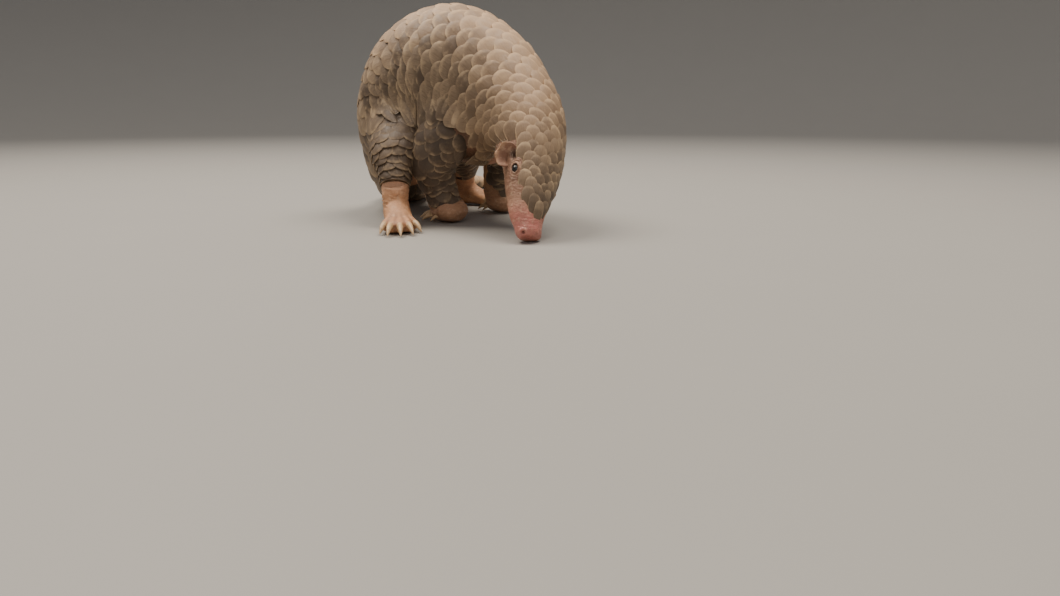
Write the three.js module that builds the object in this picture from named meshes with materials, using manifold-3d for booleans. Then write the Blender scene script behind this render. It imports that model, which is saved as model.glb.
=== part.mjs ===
// A Chinese pangolin of about 2.2 kg, life size, standing hunched with its nose down, as a still
// museum model. Millimetres, +Z up. The trunk faces -Y and the animal's left side is +X.
import * as THREE from "three";
import { mergeVertices } from "three/addons/utils/BufferGeometryUtils.js";
import Module from "manifold-3d";

const wasm = await Module();
wasm.setup();

// Driving dimensions
const GAP = 0.35; // between two pieces that meet
const SCUTE_PITCH = 25; // from one row of body scutes to the next, along the back
const SCUTE_REACH = 1.5; // length of a scute in row pitches
const SCUTE_VALLEY = 0.72; // share of that length at which two scutes of a row part
const SCUTE_RISE = 2.5; // height of a scute's free edge over the skin
const SCUTE_ROOT = 0.3; // height of its root over the skin, under the row before it
const SCUTE_KEEL = 1.2; // drop from its keel to its side corners
const SCUTE_DEPTH = 2.2; // depth of its underside in the skin
const SEED = 20160;
// Where the middle of the drawing falls under the middle of the whole animal
const STAND = new THREE.Vector3(-44, -39, 0);

const degrees = THREE.MathUtils.degToRad;
const vector = (xyz) => new THREE.Vector3(...xyz);

// The same draws each time: a small seeded generator of numbers from 0 to 1
function seededDraws(seed) {
  let state = seed;
  return () => {
    state = (state + 0x6d2b79f5) | 0;
    let mixed = Math.imul(state ^ (state >>> 15), 1 | state);
    mixed = (mixed + Math.imul(mixed ^ (mixed >>> 7), 61 | mixed)) ^ mixed;
    return ((mixed ^ (mixed >>> 14)) >>> 0) / 4294967296;
  };
}
const draw = seededDraws(SEED);
const vary = (share) => 1 + share * (2 * draw() - 1);

// Closed surfaces and solids

// A closed surface over rings of points, with a fan over each end
function ringsGeometry(rings) {
  const sides = rings[0].length;
  const middleOf = (ring) =>
    ring.reduce((sum, p) => sum.add(p), new THREE.Vector3()).divideScalar(sides);
  const points = [...rings.flat(), middleOf(rings[0]), middleOf(rings.at(-1))];
  const first = points.length - 2;
  const last = points.length - 1;
  const end = (rings.length - 1) * sides;
  const faces = [];
  for (let k = 0; k < sides; k++) {
    const next = (k + 1) % sides;
    faces.push(first, next, k, last, end + k, end + next);
    for (let r = 0; r < rings.length - 1; r++) {
      const a = r * sides;
      const b = a + sides;
      faces.push(a + k, a + next, b + next, a + k, b + next, b + k);
    }
  }
  const geometry = new THREE.BufferGeometry().setFromPoints(points);
  return geometry.setIndex(faces);
}

// The solid inside a closed geometry, with its faces turned out
function solidOf(geometry) {
  const bare = geometry.clone();
  bare.deleteAttribute("normal");
  bare.deleteAttribute("uv");
  const merged = mergeVertices(bare, 1e-4);
  const corners = merged.attributes.position.array;
  const faces = Uint32Array.from(merged.index.array);
  let volume = 0;
  for (let i = 0; i < faces.length; i += 3) {
    const [a, b, c] = [0, 1, 2].map((k) => vector(corners.slice(3 * faces[i + k], 3 * faces[i + k] + 3)));
    volume += a.dot(b.cross(c));
  }
  if (volume < 0) faces.reverse();
  return new wasm.Manifold(
    new wasm.Mesh({ numProp: 3, vertProperties: Float32Array.from(corners), triVerts: faces }),
  );
}

const joined = (solids) => wasm.Manifold.union(solids);

// The largest closed piece of a solid
function largest(solid) {
  const pieces = solid.decompose();
  return pieces.reduce((best, piece) => (piece.volume() > best.volume() ? piece : best));
}

// A sphere stretched to three half axes, turned to a basis and moved to a place
function ellipsoid(at, halfAxes, basis, grow = 0, segments = 20, rings = 12) {
  const geometry = new THREE.SphereGeometry(1, segments, rings);
  const axes = basis.map((axis, i) => axis.clone().multiplyScalar(halfAxes[i] + grow));
  geometry.applyMatrix4(new THREE.Matrix4().makeBasis(...axes).setPosition(at));
  return solidOf(geometry);
}

// A tube of flesh: a smooth line with a width, a back and a belly at each of its stations

const lineThrough = (points) =>
  new THREE.CatmullRomCurve3(points.map(vector), false, "catmullrom", 0.5);

class Tube {
  // Each station has at: [x, y, z], up: the way its back faces, and size: [half width, back, belly]
  constructor(stations) {
    this.last = stations.length - 1;
    this.middle = lineThrough(stations.map((s) => s.at));
    this.upward = lineThrough(stations.map((s) => s.up));
    this.sizes = lineThrough(stations.map((s) => s.size));
  }

  // The middle, the way back along the tube, the way up and the way left at station number s
  frame(s) {
    const t = THREE.MathUtils.clamp(s / this.last, 0, 1);
    const at = this.middle.getPoint(t);
    const along = this.middle.getTangent(t);
    const up = this.upward.getPoint(t);
    up.addScaledVector(along, -up.dot(along)).normalize();
    const left = new THREE.Vector3().crossVectors(along, up);
    const size = this.sizes.getPoint(t);
    return { at, along, up, left, size };
  }

  // A point on the skin at station s, angle from the back towards the left side, lifted by some mm
  point(s, angle, lift = 0) {
    const { at, up, left, size } = this.frame(s);
    const height = Math.cos(angle) > 0 ? size.y : size.z;
    return at
      .clone()
      .addScaledVector(left, (size.x + lift) * Math.sin(angle))
      .addScaledVector(up, (height + lift) * Math.cos(angle));
  }

  // A point on the skin with the way out, the way back and the way left on it
  spot(s, angle, lift = 0) {
    const step = 0.02;
    const at = this.point(s, angle, lift);
    const back = this.point(s + step, angle).sub(this.point(s - step, angle)).normalize();
    const side = this.point(s, angle + step).sub(this.point(s, angle - step)).normalize();
    const out = new THREE.Vector3().crossVectors(side, back).normalize();
    if (out.dot(at.clone().sub(this.frame(s).at)) < 0) out.negate();
    return { at, out, back, side };
  }

  // Millimetres on the skin for one station, and for one radian round the tube
  pace(s, angle) {
    const step = 0.01;
    const along = this.point(s + step, angle).distanceTo(this.point(s - step, angle));
    const round = this.point(s, angle + step).distanceTo(this.point(s, angle - step));
    return { along: along / (2 * step), round: round / (2 * step) };
  }

  // Points all round the skin at station s
  ring(s, sides, lift = 0) {
    return Array.from({ length: sides }, (_, k) => this.point(s, (2 * Math.PI * k) / sides, lift));
  }

  // The tube from one station to another as a solid, grown by some mm all round
  solid(from, to, rings, sides, grow = 0) {
    const cut = [];
    for (let r = 0; r <= rings; r++) {
      const s = from + ((to - from) * r) / rings;
      cut.push(this.ring(s, sides, grow));
    }
    if (grow) {
      cut[0].forEach((p) => p.addScaledVector(this.frame(from).along, -grow));
      cut.at(-1).forEach((p) => p.addScaledVector(this.frame(to).along, grow));
    }
    return solidOf(ringsGeometry(cut));
  }

  // Station numbers evenly spaced along the skin at one angle
  rows(from, to, pitch, angle = 0) {
    const found = [];
    const step = 0.01;
    let walked = pitch;
    for (let s = from; s <= to; s += step) {
      if (walked >= pitch) {
        found.push(s);
        walked -= pitch;
      }
      walked += this.point(s + step, angle).distanceTo(this.point(s, angle));
    }
    return found;
  }
}

// The line of the animal from its nose to the tip of its tail

const FACE_UP = [0.2, -0.85, 0.48];
const SPINE = {
  nose: { at: [-45, -124, 8.5], up: FACE_UP, size: [12, 9.5, 8.5] },
  muzzle: { at: [-40, -118, 20], up: FACE_UP, size: [16, 12.5, 11.5] },
  bridge: { at: [-31, -111, 34], up: FACE_UP, size: [20.5, 16.5, 16] },
  eyes: { at: [-20, -104, 49], up: FACE_UP, size: [24.5, 20, 21] },
  ears: { at: [-9, -94, 67], up: FACE_UP, size: [28, 24, 27] },
  nape: { at: [1, -77, 86], up: [0.08, -0.72, 0.68], size: [33, 30, 38] },
  neck: { at: [7, -53, 102], up: [0, -0.5, 0.87], size: [39, 38, 60] },
  shoulders: { at: [10, -22, 116], up: [0, -0.2, 0.98], size: [47, 49.5, 70] },
  back: { at: [6, 16, 125], up: [0, 0.15, 0.99], size: [53, 58, 58] },
  loin: { at: [0, 49, 114], up: [-0.05, 0.5, 0.85], size: [53, 57, 46] },
  rump: { at: [-4, 73, 86], up: [-0.05, 0.78, 0.6], size: [47, 45, 40] },
  root: { at: [2, 94, 54], up: [-0.2, 0.75, 0.65], size: [35, 29, 28] },
  tail1: { at: [21, 116, 31], up: [-0.2, 0.4, 0.9], size: [29, 22, 21] },
  tail2: { at: [40, 142, 19], up: [0, 0.1, 1], size: [27, 17, 17] },
  tail3: { at: [64, 165, 15], up: [0, 0, 1], size: [25, 14, 13.5] },
  tail4: { at: [94, 182, 12.5], up: [0, 0, 1], size: [22.5, 12, 11.5] },
  tail5: { at: [126, 191, 10.5], up: [0, 0, 1], size: [19.5, 10, 9.5] },
  tail6: { at: [158, 192, 9], up: [0, 0, 1], size: [16, 8.5, 8] },
  tail7: { at: [184, 186, 7.5], up: [0, 0, 1], size: [11, 6.5, 6.5] },
  tail8: { at: [196, 181, 6.5], up: [0, 0, 1], size: [5, 3.8, 4] },
};
const station = Object.fromEntries(Object.keys(SPINE).map((name, i) => [name, i]));
const spine = new Tube(Object.values(SPINE));

// Scutes

// A row of scutes across a tube, side by side, as one closed frill. Its root is sunk in the flesh, and
// each scute has a free edge that runs to a point, with a keel, between two valleys
function scuteRow(tube, row, grow = 0) {
  const { s, first, step, reaches, rise, root, depth, along } = row;
  const rings = [];
  for (let k = 0; k <= 2 * reaches.length; k++) {
    const tip = k % 2 === 1;
    const reach = reaches[Math.min(reaches.length - 1, k >> 1)] * (tip ? 1 : SCUTE_VALLEY);
    const end = k === 0 || k === 2 * reaches.length;
    const edge = end ? 0 : tip ? rise : rise - SCUTE_KEEL;
    const angle = first + (k / 2) * step;
    const pace = tube.pace(s, angle);
    const shrink = Math.min(1, pace.along / along) / pace.along;
    const at = (u, height) => tube.point(s + u * shrink, angle, height);
    rings.push([
      at(-grow, (end ? 0 : root) + grow),
      at(reach / 2, (end ? 0 : (root + edge) / 2) + grow),
      at(reach + grow, edge + grow),
      at(reach + grow, -depth - grow),
      at(-grow, -depth - grow),
    ]);
  }
  return solidOf(ringsGeometry(rings));
}

// Rows of scutes that overlap like tiles, every second row set half a scute aside. A row breaks off
// where keep says that a scute has no room
function scuteRows(tube, { from, to, pitch, columns, spread, keep = () => true, form = {} }) {
  const { rise = SCUTE_RISE, root = SCUTE_ROOT, depth = SCUTE_DEPTH } = form;
  const step = (2 * spread) / columns;
  const rows = [];
  tube.rows(from, to, pitch).forEach((s, index) => {
    const odd = index % 2;
    const along = tube.pace(s, 0).along;
    let run = null;
    for (let c = 0; c < columns - odd; c++) {
      const angle = -spread + (c + 0.5 * odd) * step;
      const reach = SCUTE_REACH * pitch * vary(0.06);
      if (!keep(tube.point(s + (0.5 * reach) / along, angle + step / 2))) {
        run = null;
        continue;
      }
      if (!run) {
        run = { s, first: angle, step, reaches: [], rise: rise * vary(0.1), root, depth, along };
        rows.push(run);
      }
      run.reaches.push(reach);
    }
  });
  return rows;
}

const scutesOf = (tube, plan, grow) => plan.map((row) => scuteRow(tube, row, grow));

// Nodes

const made = new Map();
const FLOOR = solidOf(new THREE.BoxGeometry(900, 900, 100).translate(0, 0, -50));

// Each node is built twice: once as it is, and once grown, to cut what it meets clear of it
function addNode(name, finish, build) {
  let solid = build(0);
  for (const other of made.values()) {
    if (boxesMeet(solid, other.grown)) solid = solid.subtract(other.grown);
    if (solid.intersect(other.solid).volume() > 0.001) solid = solid.subtract(other.solid);
  }
  solid = largest(solid.subtract(FLOOR));
  made.set(name, { solid, grown: build(GAP), finish });
}

// Whether the boxes round two solids meet
function boxesMeet(one, two) {
  const a = one.boundingBox();
  const b = two.boundingBox();
  return [0, 1, 2].every((axis) => a.min[axis] < b.max[axis] && b.min[axis] < a.max[axis]);
}

const SCALES = { color: 0x8a7d6c, roughness: 0.7 };
const SKIN = { color: 0xb58d7c, roughness: 0.6 };
const CLAW = { color: 0xcdb79a, roughness: 0.4 };
const EYE = { color: 0x15110f, roughness: 0.1 };

// Head: eyes first, so that the head is cut clear of them
const EYE_STATION = station.bridge + 0.44;
const EYE_ANGLE = degrees(76);
const EYE_RADIUS = 3.7;
const EYE_DEPTH = 1.9; // of the middle of the eye under the skin
const LID = { radius: 4, thick: 1.3 };
const EAR_STATION = station.eyes + 0.42;
const EAR_ANGLE = degrees(103);
const EAR_HOLE = { station: station.eyes + 0.1, angle: degrees(82), size: [2.2, 3.4, 3.6] };
const SIDES = { right: -1, left: 1 };

for (const [side, sign] of Object.entries(SIDES)) {
  addNode(`eye_${side}`, EYE, (grow) => {
    const { at, out, back, side: across } = spine.spot(EYE_STATION, sign * EYE_ANGLE);
    const middle = at.addScaledVector(out, -EYE_DEPTH);
    return ellipsoid(middle, [EYE_RADIUS, EYE_RADIUS, EYE_RADIUS], [across, out, back], grow, 10, 6);
  });
}

// The two lids of an eye as one raised ring
function lids(sign) {
  const { at, out, back, side } = spine.spot(EYE_STATION, sign * EYE_ANGLE);
  const ring = new THREE.TorusGeometry(LID.radius, LID.thick, 4, 10);
  ring.scale(1, 1.18, 1);
  const turned = new THREE.Matrix4().makeBasis(side, back, out).setPosition(at);
  return solidOf(ring.applyMatrix4(turned));
}

// A thin closed strip along points on a tube, to cut the line of the mouth
function groove(tube, path, halfWidth, depth) {
  const rings = path.map(([s, angle]) => {
    const { at, out, back } = tube.spot(s, angle);
    return [
      at.clone().addScaledVector(out, depth),
      at.clone().addScaledVector(back, halfWidth),
      at.clone().addScaledVector(out, -depth),
      at.clone().addScaledVector(back, -halfWidth),
    ];
  });
  return solidOf(ringsGeometry(rings));
}

// The line of the mouth under the nose, from one corner to the other
const MOUTH = { front: 0.42, corner: 1.35, angle: degrees(118), steps: 6, half: 0.7, depth: 1.6 };
function mouthLine() {
  const path = [];
  for (let i = 0; i <= MOUTH.steps; i++) {
    const share = (2 * i) / MOUTH.steps - 1;
    const angle = Math.PI + share * (Math.PI - MOUTH.angle);
    const s = MOUTH.front + (MOUTH.corner - MOUTH.front) * Math.abs(share) ** 2.2;
    path.push([s, angle]);
  }
  return groove(spine, path, MOUTH.half, MOUTH.depth);
}

const NOSTRIL = { station: -0.15, angle: degrees(48), size: [1.1, 1.8, 2.2] };

// A pit in the head, as a nostril or the hole of an ear
function pit({ station: s, angle, size }, sign) {
  const { at, out, back, side } = spine.spot(s, sign * angle);
  return ellipsoid(at, size, [side, out, back], 0, 7, 5);
}

const TRUNK_SIDES = { head: 18, body: 24, tail: 12 };
const HEAD_RINGS = 8;
const NECK_FROM = station.nape - 0.3;
const TORSO_FROM = station.neck + 0.5;
const TORSO_SPLIT = station.back + 0.4;
const TAIL_FROM = station.root + 0.1;
const TAIL_BASE_FROM = station.tail1 + 0.15;
const TAIL_MIDDLE_FROM = station.tail3;
const TAIL_TIP_FROM = station.tail5;

const HEAD_SCUTES = scuteRows(spine, {
  from: station.muzzle + 0.4,
  to: NECK_FROM - 0.3,
  pitch: 17,
  columns: 4,
  spread: degrees(62),
  form: { rise: 1.2, depth: 1.6 },
});
const NECK_SCUTES = scuteRows(spine, {
  from: NECK_FROM + 0.02,
  to: TORSO_FROM - 0.12,
  pitch: 19,
  columns: 9,
  spread: degrees(124),
  form: { rise: 1.9 },
});

// The skull's own rings, closed over the nose by a few that shrink to its blunt end
const NOSE = { length: 7.5, steps: 3, blunt: degrees(68) };
function skull(grow) {
  const rings = [];
  const front = spine.frame(0);
  for (let r = NOSE.steps; r > 0; r--) {
    const turn = (NOSE.blunt * r) / NOSE.steps;
    const ahead = -(NOSE.length + grow) * Math.sin(turn);
    const ring = spine.ring(0, TRUNK_SIDES.head, grow);
    ring.forEach((p) => p.sub(front.at).multiplyScalar(Math.cos(turn)).add(front.at));
    rings.push(ring.map((p) => p.addScaledVector(front.along, ahead)));
  }
  for (let r = 0; r <= HEAD_RINGS; r++) {
    rings.push(spine.ring((NECK_FROM * r) / HEAD_RINGS, TRUNK_SIDES.head, grow));
  }
  rings.at(-1).forEach((p) => p.addScaledVector(spine.frame(NECK_FROM).along, grow));
  return solidOf(ringsGeometry(rings));
}

addNode("head", SKIN, (grow) => {
  const flesh = joined([
    skull(grow),
    ...scutesOf(spine, HEAD_SCUTES, grow),
    ...Object.values(SIDES).map((sign) => lids(sign)),
  ]);
  if (grow) return flesh;
  const pits = Object.values(SIDES).flatMap((sign) => [pit(NOSTRIL, sign), pit(EAR_HOLE, sign)]);
  return flesh.subtract(joined([mouthLine(), ...pits]));
});

// The cup of an ear: a curved flap behind the ear hole
const EAR = {
  size: [9.5, 8, 3], // outwards, across and through the flap
  cup: [9, 6.4, 2.6],
  shift: [0.8, 0, 2.5], // of the cup from the middle of the flap
  facing: [0.75, 0.65], // how far it faces the crown of the head, and the nose
};
function earBasis(sign) {
  const { at, out, back, side } = spine.spot(EAR_STATION, sign * EAR_ANGLE);
  const through = side.multiplyScalar(-sign * EAR.facing[0]);
  through.addScaledVector(back, -EAR.facing[1]).normalize();
  return { at, basis: [out, new THREE.Vector3().crossVectors(through, out), through] };
}
for (const [side, sign] of Object.entries(SIDES)) {
  addNode(`ear_${side}`, SKIN, (grow) => {
    const { at, basis } = earBasis(sign);
    const flap = ellipsoid(at, EAR.size, basis, grow, 10, 6);
    if (grow) return flap;
    const hollow = at.clone();
    basis.forEach((axis, i) => hollow.addScaledVector(axis, EAR.shift[i]));
    return flap.subtract(ellipsoid(hollow, EAR.cup, basis, 0, 10, 6));
  });
}

addNode("neck", SCALES, (grow) =>
  joined([
    spine.solid(NECK_FROM, TORSO_FROM, 4, TRUNK_SIDES.body, grow),
    ...scutesOf(spine, NECK_SCUTES, grow),
  ]),
);

// Legs, from the shoulder or hip down to the ankle
const LEGS = {
  foreleg_right: [
    { at: [-4, -22, 108], up: [-0.8, -0.6, 0], size: [24, 20, 24] },
    { at: [-23, -13, 82], up: [-0.8, -0.6, 0], size: [25, 20, 24] },
    { at: [-35, 0, 55], up: [-0.8, -0.6, 0], size: [21, 18, 19] },
    { at: [-29, 2, 33], up: [-0.8, -0.6, 0], size: [15.5, 14, 15] },
    { at: [-24, -2, 15], up: [-0.8, -0.6, 0], size: [14, 13.5, 14] },
  ],
  foreleg_left: [
    { at: [24, -20, 106], up: [0.8, -0.6, 0], size: [24, 20, 24] },
    { at: [42, -9, 80], up: [0.8, -0.6, 0], size: [24, 20, 23] },
    { at: [52, 5, 54], up: [0.8, -0.6, 0], size: [21, 18, 19] },
    { at: [53, 10, 33], up: [0.8, -0.6, 0], size: [17, 15, 16] },
    { at: [52, 9, 15], up: [0.8, -0.6, 0], size: [15, 14.5, 14.5] },
  ],
  hindleg_right: [
    { at: [-10, 60, 94], up: [-0.8, 0.2, 0.5], size: [34, 28, 30] },
    { at: [-33, 45, 79], up: [-0.9, 0.1, 0.4], size: [34, 26, 28] },
    { at: [-53.5, 26.5, 61], up: [-0.9, -0.3, 0.2], size: [24, 19.5, 21] },
    { at: [-63, 16, 46], up: [-0.8, -0.5, 0], size: [14.5, 14, 15] },
    { at: [-68.5, 9.5, 34], up: [-0.7, -0.7, 0], size: [11.5, 11, 11.5] },
  ],
  hindleg_left: [
    { at: [10, 63, 94], up: [0.8, 0.2, 0.5], size: [34, 28, 30] },
    { at: [34, 60, 79], up: [0.9, 0.1, 0.4], size: [34, 27, 28] },
    { at: [50, 63, 61], up: [0.9, -0.3, 0.2], size: [26, 21, 24] },
    { at: [59, 68, 46], up: [0.8, -0.5, 0], size: [17, 15, 16] },
    { at: [64, 73, 34], up: [0.7, -0.7, 0], size: [13, 11.5, 12.5] },
  ],
};
const limbs = Object.fromEntries(Object.entries(LEGS).map(([name, list]) => [name, new Tube(list)]));

// Whether a leg's flesh covers a place on the trunk
function underLimb(place) {
  return Object.values(limbs).some((limb) =>
    [0, 0.5, 1, 1.5, 2].some((s) => {
      const { at, size } = limb.frame(s);
      return at.distanceTo(place) < Math.min(size.y, size.z) + 1;
    }),
  );
}

const BODY_SCUTES = scuteRows(spine, {
  from: TORSO_FROM + 0.02,
  to: TAIL_FROM - 0.25,
  pitch: SCUTE_PITCH,
  columns: 9,
  spread: degrees(118),
  keep: (place) => !underLimb(place),
});

addNode("torso_front", SCALES, (grow) =>
  joined([
    spine.solid(TORSO_FROM, TORSO_SPLIT, 5, TRUNK_SIDES.body, grow),
    ...scutesOf(spine, BODY_SCUTES.filter((p) => p.s < TORSO_SPLIT), grow),
  ]),
);
addNode("torso_rear", SCALES, (grow) =>
  joined([
    spine.solid(TORSO_SPLIT, TAIL_FROM, 6, TRUNK_SIDES.body, grow),
    ...scutesOf(spine, BODY_SCUTES.filter((p) => p.s >= TORSO_SPLIT), grow),
  ]),
);

// Tail: scutes above and below, and a row of folded ones along each edge
const TAIL_SCUTES = scuteRows(spine, {
  from: TAIL_FROM + 0.02,
  to: station.tail7 - 0.5,
  pitch: 28,
  columns: 5,
  spread: degrees(112),
});
const TAIL_PARTS = [
  ["tail_root", TAIL_FROM, TAIL_BASE_FROM, 4],
  ["tail_base", TAIL_BASE_FROM, TAIL_MIDDLE_FROM, 5],
  ["tail_middle", TAIL_MIDDLE_FROM, TAIL_TIP_FROM, 5],
  ["tail_tip", TAIL_TIP_FROM, station.tail8, 5],
];
for (const [name, from, to, rings] of TAIL_PARTS) {
  addNode(name, SCALES, (grow) =>
    joined([
      spine.solid(from, to, rings, TRUNK_SIDES.tail, grow),
      ...scutesOf(spine, TAIL_SCUTES.filter((p) => p.s >= from && p.s < to), grow),
    ]),
  );
}

// The leg scutes wrap the outer side, and get smaller towards the foot
const LEG_SCUTES = {
  foreleg: { from: 1.2, to: 3.3, pitch: 23, columns: 3, spread: degrees(85), form: { rise: 1.8 } },
  hindleg: { from: 1.2, to: 3.1, pitch: 23, columns: 3, spread: degrees(85), form: { rise: 2 } },
};
for (const [name, limb] of Object.entries(limbs)) {
  const plan = scuteRows(limb, LEG_SCUTES[name.split("_")[0]]);
  addNode(name, SCALES, (grow) =>
    joined([limb.solid(0, limb.last, 6, 12, grow), ...scutesOf(limb, plan, grow)]),
  );
}

// Feet and claws

// A foot's own directions: forwards, outwards from the body, and up, with a place for its ankle
function footFrame([x, y], yaw, sign) {
  const forward = new THREE.Vector3(sign * Math.sin(yaw), -Math.cos(yaw), 0);
  const outward = new THREE.Vector3(sign * Math.cos(yaw), Math.sin(yaw), 0);
  const place = ([ahead, aside, height]) =>
    new THREE.Vector3(x, y, height).addScaledVector(forward, ahead).addScaledVector(outward, aside);
  return { forward, outward, place };
}

const UP = new THREE.Vector3(0, 0, 1);

// A claw as a bent cone from its root to its tip, arched upwards, with a blunt point
const CLAW_SHAPE = { rings: 2, sides: 5, blunt: 0.16 };
function claw(root, tip, half, arch, grow) {
  const along = tip.clone().sub(root);
  const across = new THREE.Vector3().crossVectors(along, UP).normalize();
  const rings = [];
  for (let r = 0; r <= CLAW_SHAPE.rings; r++) {
    const t = r / CLAW_SHAPE.rings;
    const radius = half * (1 - (1 - CLAW_SHAPE.blunt) * t ** 1.3) + grow;
    const middle = root.clone().addScaledVector(along, t).addScaledVector(UP, arch * Math.sin(Math.PI * t));
    const slope = along.clone().addScaledVector(UP, arch * Math.PI * Math.cos(Math.PI * t)).normalize();
    const upward = new THREE.Vector3().crossVectors(across, slope).normalize();
    const ring = [];
    for (let k = 0; k < CLAW_SHAPE.sides; k++) {
      const a = (2 * Math.PI * k) / CLAW_SHAPE.sides;
      ring.push(
        middle
          .clone()
          .addScaledVector(across, radius * 0.85 * Math.cos(a))
          .addScaledVector(upward, radius * Math.sin(a)),
      );
    }
    rings.push(ring);
  }
  return solidOf(ringsGeometry(rings));
}

// Hind feet stand flat. Each toe: [degrees outwards from the foot's own line, reach of its claw tip]
const HIND_TOES = [
  [-23, 42],
  [-10, 52],
  [1, 56],
  [12, 54],
  [22, 45],
];
const HIND_SOLE = [
  { at: [-15, 0, 7], size: [7, 5, 7] },
  { at: [-9, 0, 10], size: [12, 11, 10] },
  { at: [3, 0, 12], size: [14, 13, 12] },
  { at: [18, 0, 8.5], size: [15.5, 9, 8.5] },
  { at: [30, 0, 6.5], size: [16.5, 6.5, 6.5] },
  { at: [35, 0, 5.5], size: [13, 4, 5.5] },
];
const ANKLE = { half: 12, top: 33.5, bottom: 12, back: -6 };
const HIND_FEET = {
  right: { ankle: [-71, 4], yaw: degrees(33) },
  left: { ankle: [68, 76], yaw: degrees(28) },
};
const TOE = { from: 0.5, to: 0.72, half: 4, height: 5.2 };
for (const [side, { ankle, yaw }] of Object.entries(HIND_FEET)) {
  const sign = SIDES[side];
  const frame = footFrame(ankle, yaw, sign);
  const sole = new Tube(
    HIND_SOLE.map(({ at, size }) => ({ at: frame.place(at).toArray(), up: [0, 0, 1], size })),
  );
  const forward = frame.forward.toArray();
  const ankleTop = limbs[`hindleg_${side}`].frame(4).at.toArray();
  const ankleBottom = frame.place([ANKLE.back, 0, ANKLE.bottom]).toArray();
  const shank = new Tube([
    { at: ankleTop, up: forward, size: [ANKLE.half, ANKLE.half, ANKLE.half] },
    { at: ankleBottom, up: forward, size: [13, 13, 11] },
  ]);
  const toes = HIND_TOES.map(([turn, reach]) => {
    const angle = degrees(turn);
    const heading = [Math.cos(angle) * reach, Math.sin(angle) * reach];
    const on = (share, height) => frame.place([heading[0] * share, heading[1] * share, height]);
    return { on, reach };
  });
  addNode(`hindfoot_${side}`, SKIN, (grow) =>
    joined([
      sole.solid(0, sole.last, 5, 10, grow),
      shank.solid(0, 1, 2, 10, grow),
      ...toes.map(({ on }) => {
        const middle = on((TOE.from + TOE.to) / 2, TOE.height);
        const along = on(1, 0).sub(on(0, 0)).normalize();
        const across = new THREE.Vector3().crossVectors(along, UP);
        return ellipsoid(middle, [TOE.half, 9, TOE.height], [across, along, UP], grow, 6, 5);
      }),
    ]),
  );
  toes.forEach(({ on }, i) => {
    addNode(`claw_hind_${side}_${i + 1}`, CLAW, (grow) =>
      claw(on(TOE.to - 0.08, 5.5), on(1, 1.4), 3.1, 2.6, grow),
    );
  });
}

// Forefeet stand on their knuckles, with the long claws folded back under them.
// Each digit: [root, tip] as [ahead, aside, height], and the half width of its claw
const FORE_CLAWS = [
  { root: [-2, -11, 7], tip: [-12, -13, 1.6], half: 2.0, arch: 1.5 },
  { root: [-5, -6, 6], tip: [-25, -5, 1.6], half: 3.0, arch: 2.5 },
  { root: [-6, 2, 6], tip: [-30, 6, 1.8], half: 3.7, arch: 3 },
  { root: [-3, 9, 6], tip: [-19, 15, 1.6], half: 3.0, arch: 2.5 },
  { root: [2, 12, 7], tip: [-7, 17, 1.6], half: 2.0, arch: 1.5 },
];
const FORE_FIST = [
  { at: [15, 0, 7], size: [8, 4, 7] },
  { at: [11, 0, 9], size: [14, 8, 9] },
  { at: [2, 0, 11], size: [17, 12, 11] },
  { at: [-7, 1, 8.5], size: [14, 9, 8.5] },
  { at: [-12, 1, 7], size: [9, 5, 6] },
];
const FORE_FEET = {
  right: { wrist: [-22, -4], yaw: degrees(-8) },
  left: { wrist: [52, 7], yaw: degrees(5) },
};
for (const [side, { wrist, yaw }] of Object.entries(FORE_FEET)) {
  const frame = footFrame(wrist, yaw, SIDES[side]);
  const fist = new Tube(
    FORE_FIST.map(({ at, size }) => ({ at: frame.place(at).toArray(), up: [0, 0, 1], size })),
  );
  addNode(`forefoot_${side}`, SKIN, (grow) => fist.solid(0, fist.last, 6, 12, grow));
  FORE_CLAWS.forEach(({ root, tip, half, arch }, i) => {
    addNode(`claw_fore_${side}_${i + 1}`, CLAW, (grow) =>
      claw(frame.place(root), frame.place(tip), half, arch, grow),
    );
  });
}

// The finished group

const pangolin = new THREE.Group();
for (const [name, { solid, finish }] of made) {
  const mesh = solid.getMesh();
  const geometry = new THREE.BufferGeometry();
  geometry.setAttribute("position", new THREE.BufferAttribute(mesh.vertProperties, 3));
  geometry.setIndex(new THREE.BufferAttribute(mesh.triVerts, 1));
  geometry.computeVertexNormals();
  const piece = new THREE.Mesh(geometry, new THREE.MeshStandardMaterial({ ...finish, metalness: 0 }));
  piece.name = name;
  piece.position.copy(STAND);
  pangolin.add(piece);
}

export default pangolin;
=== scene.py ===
"""A Chinese pangolin at life size, standing hunched with its nose down, as a still museum model."""

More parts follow.
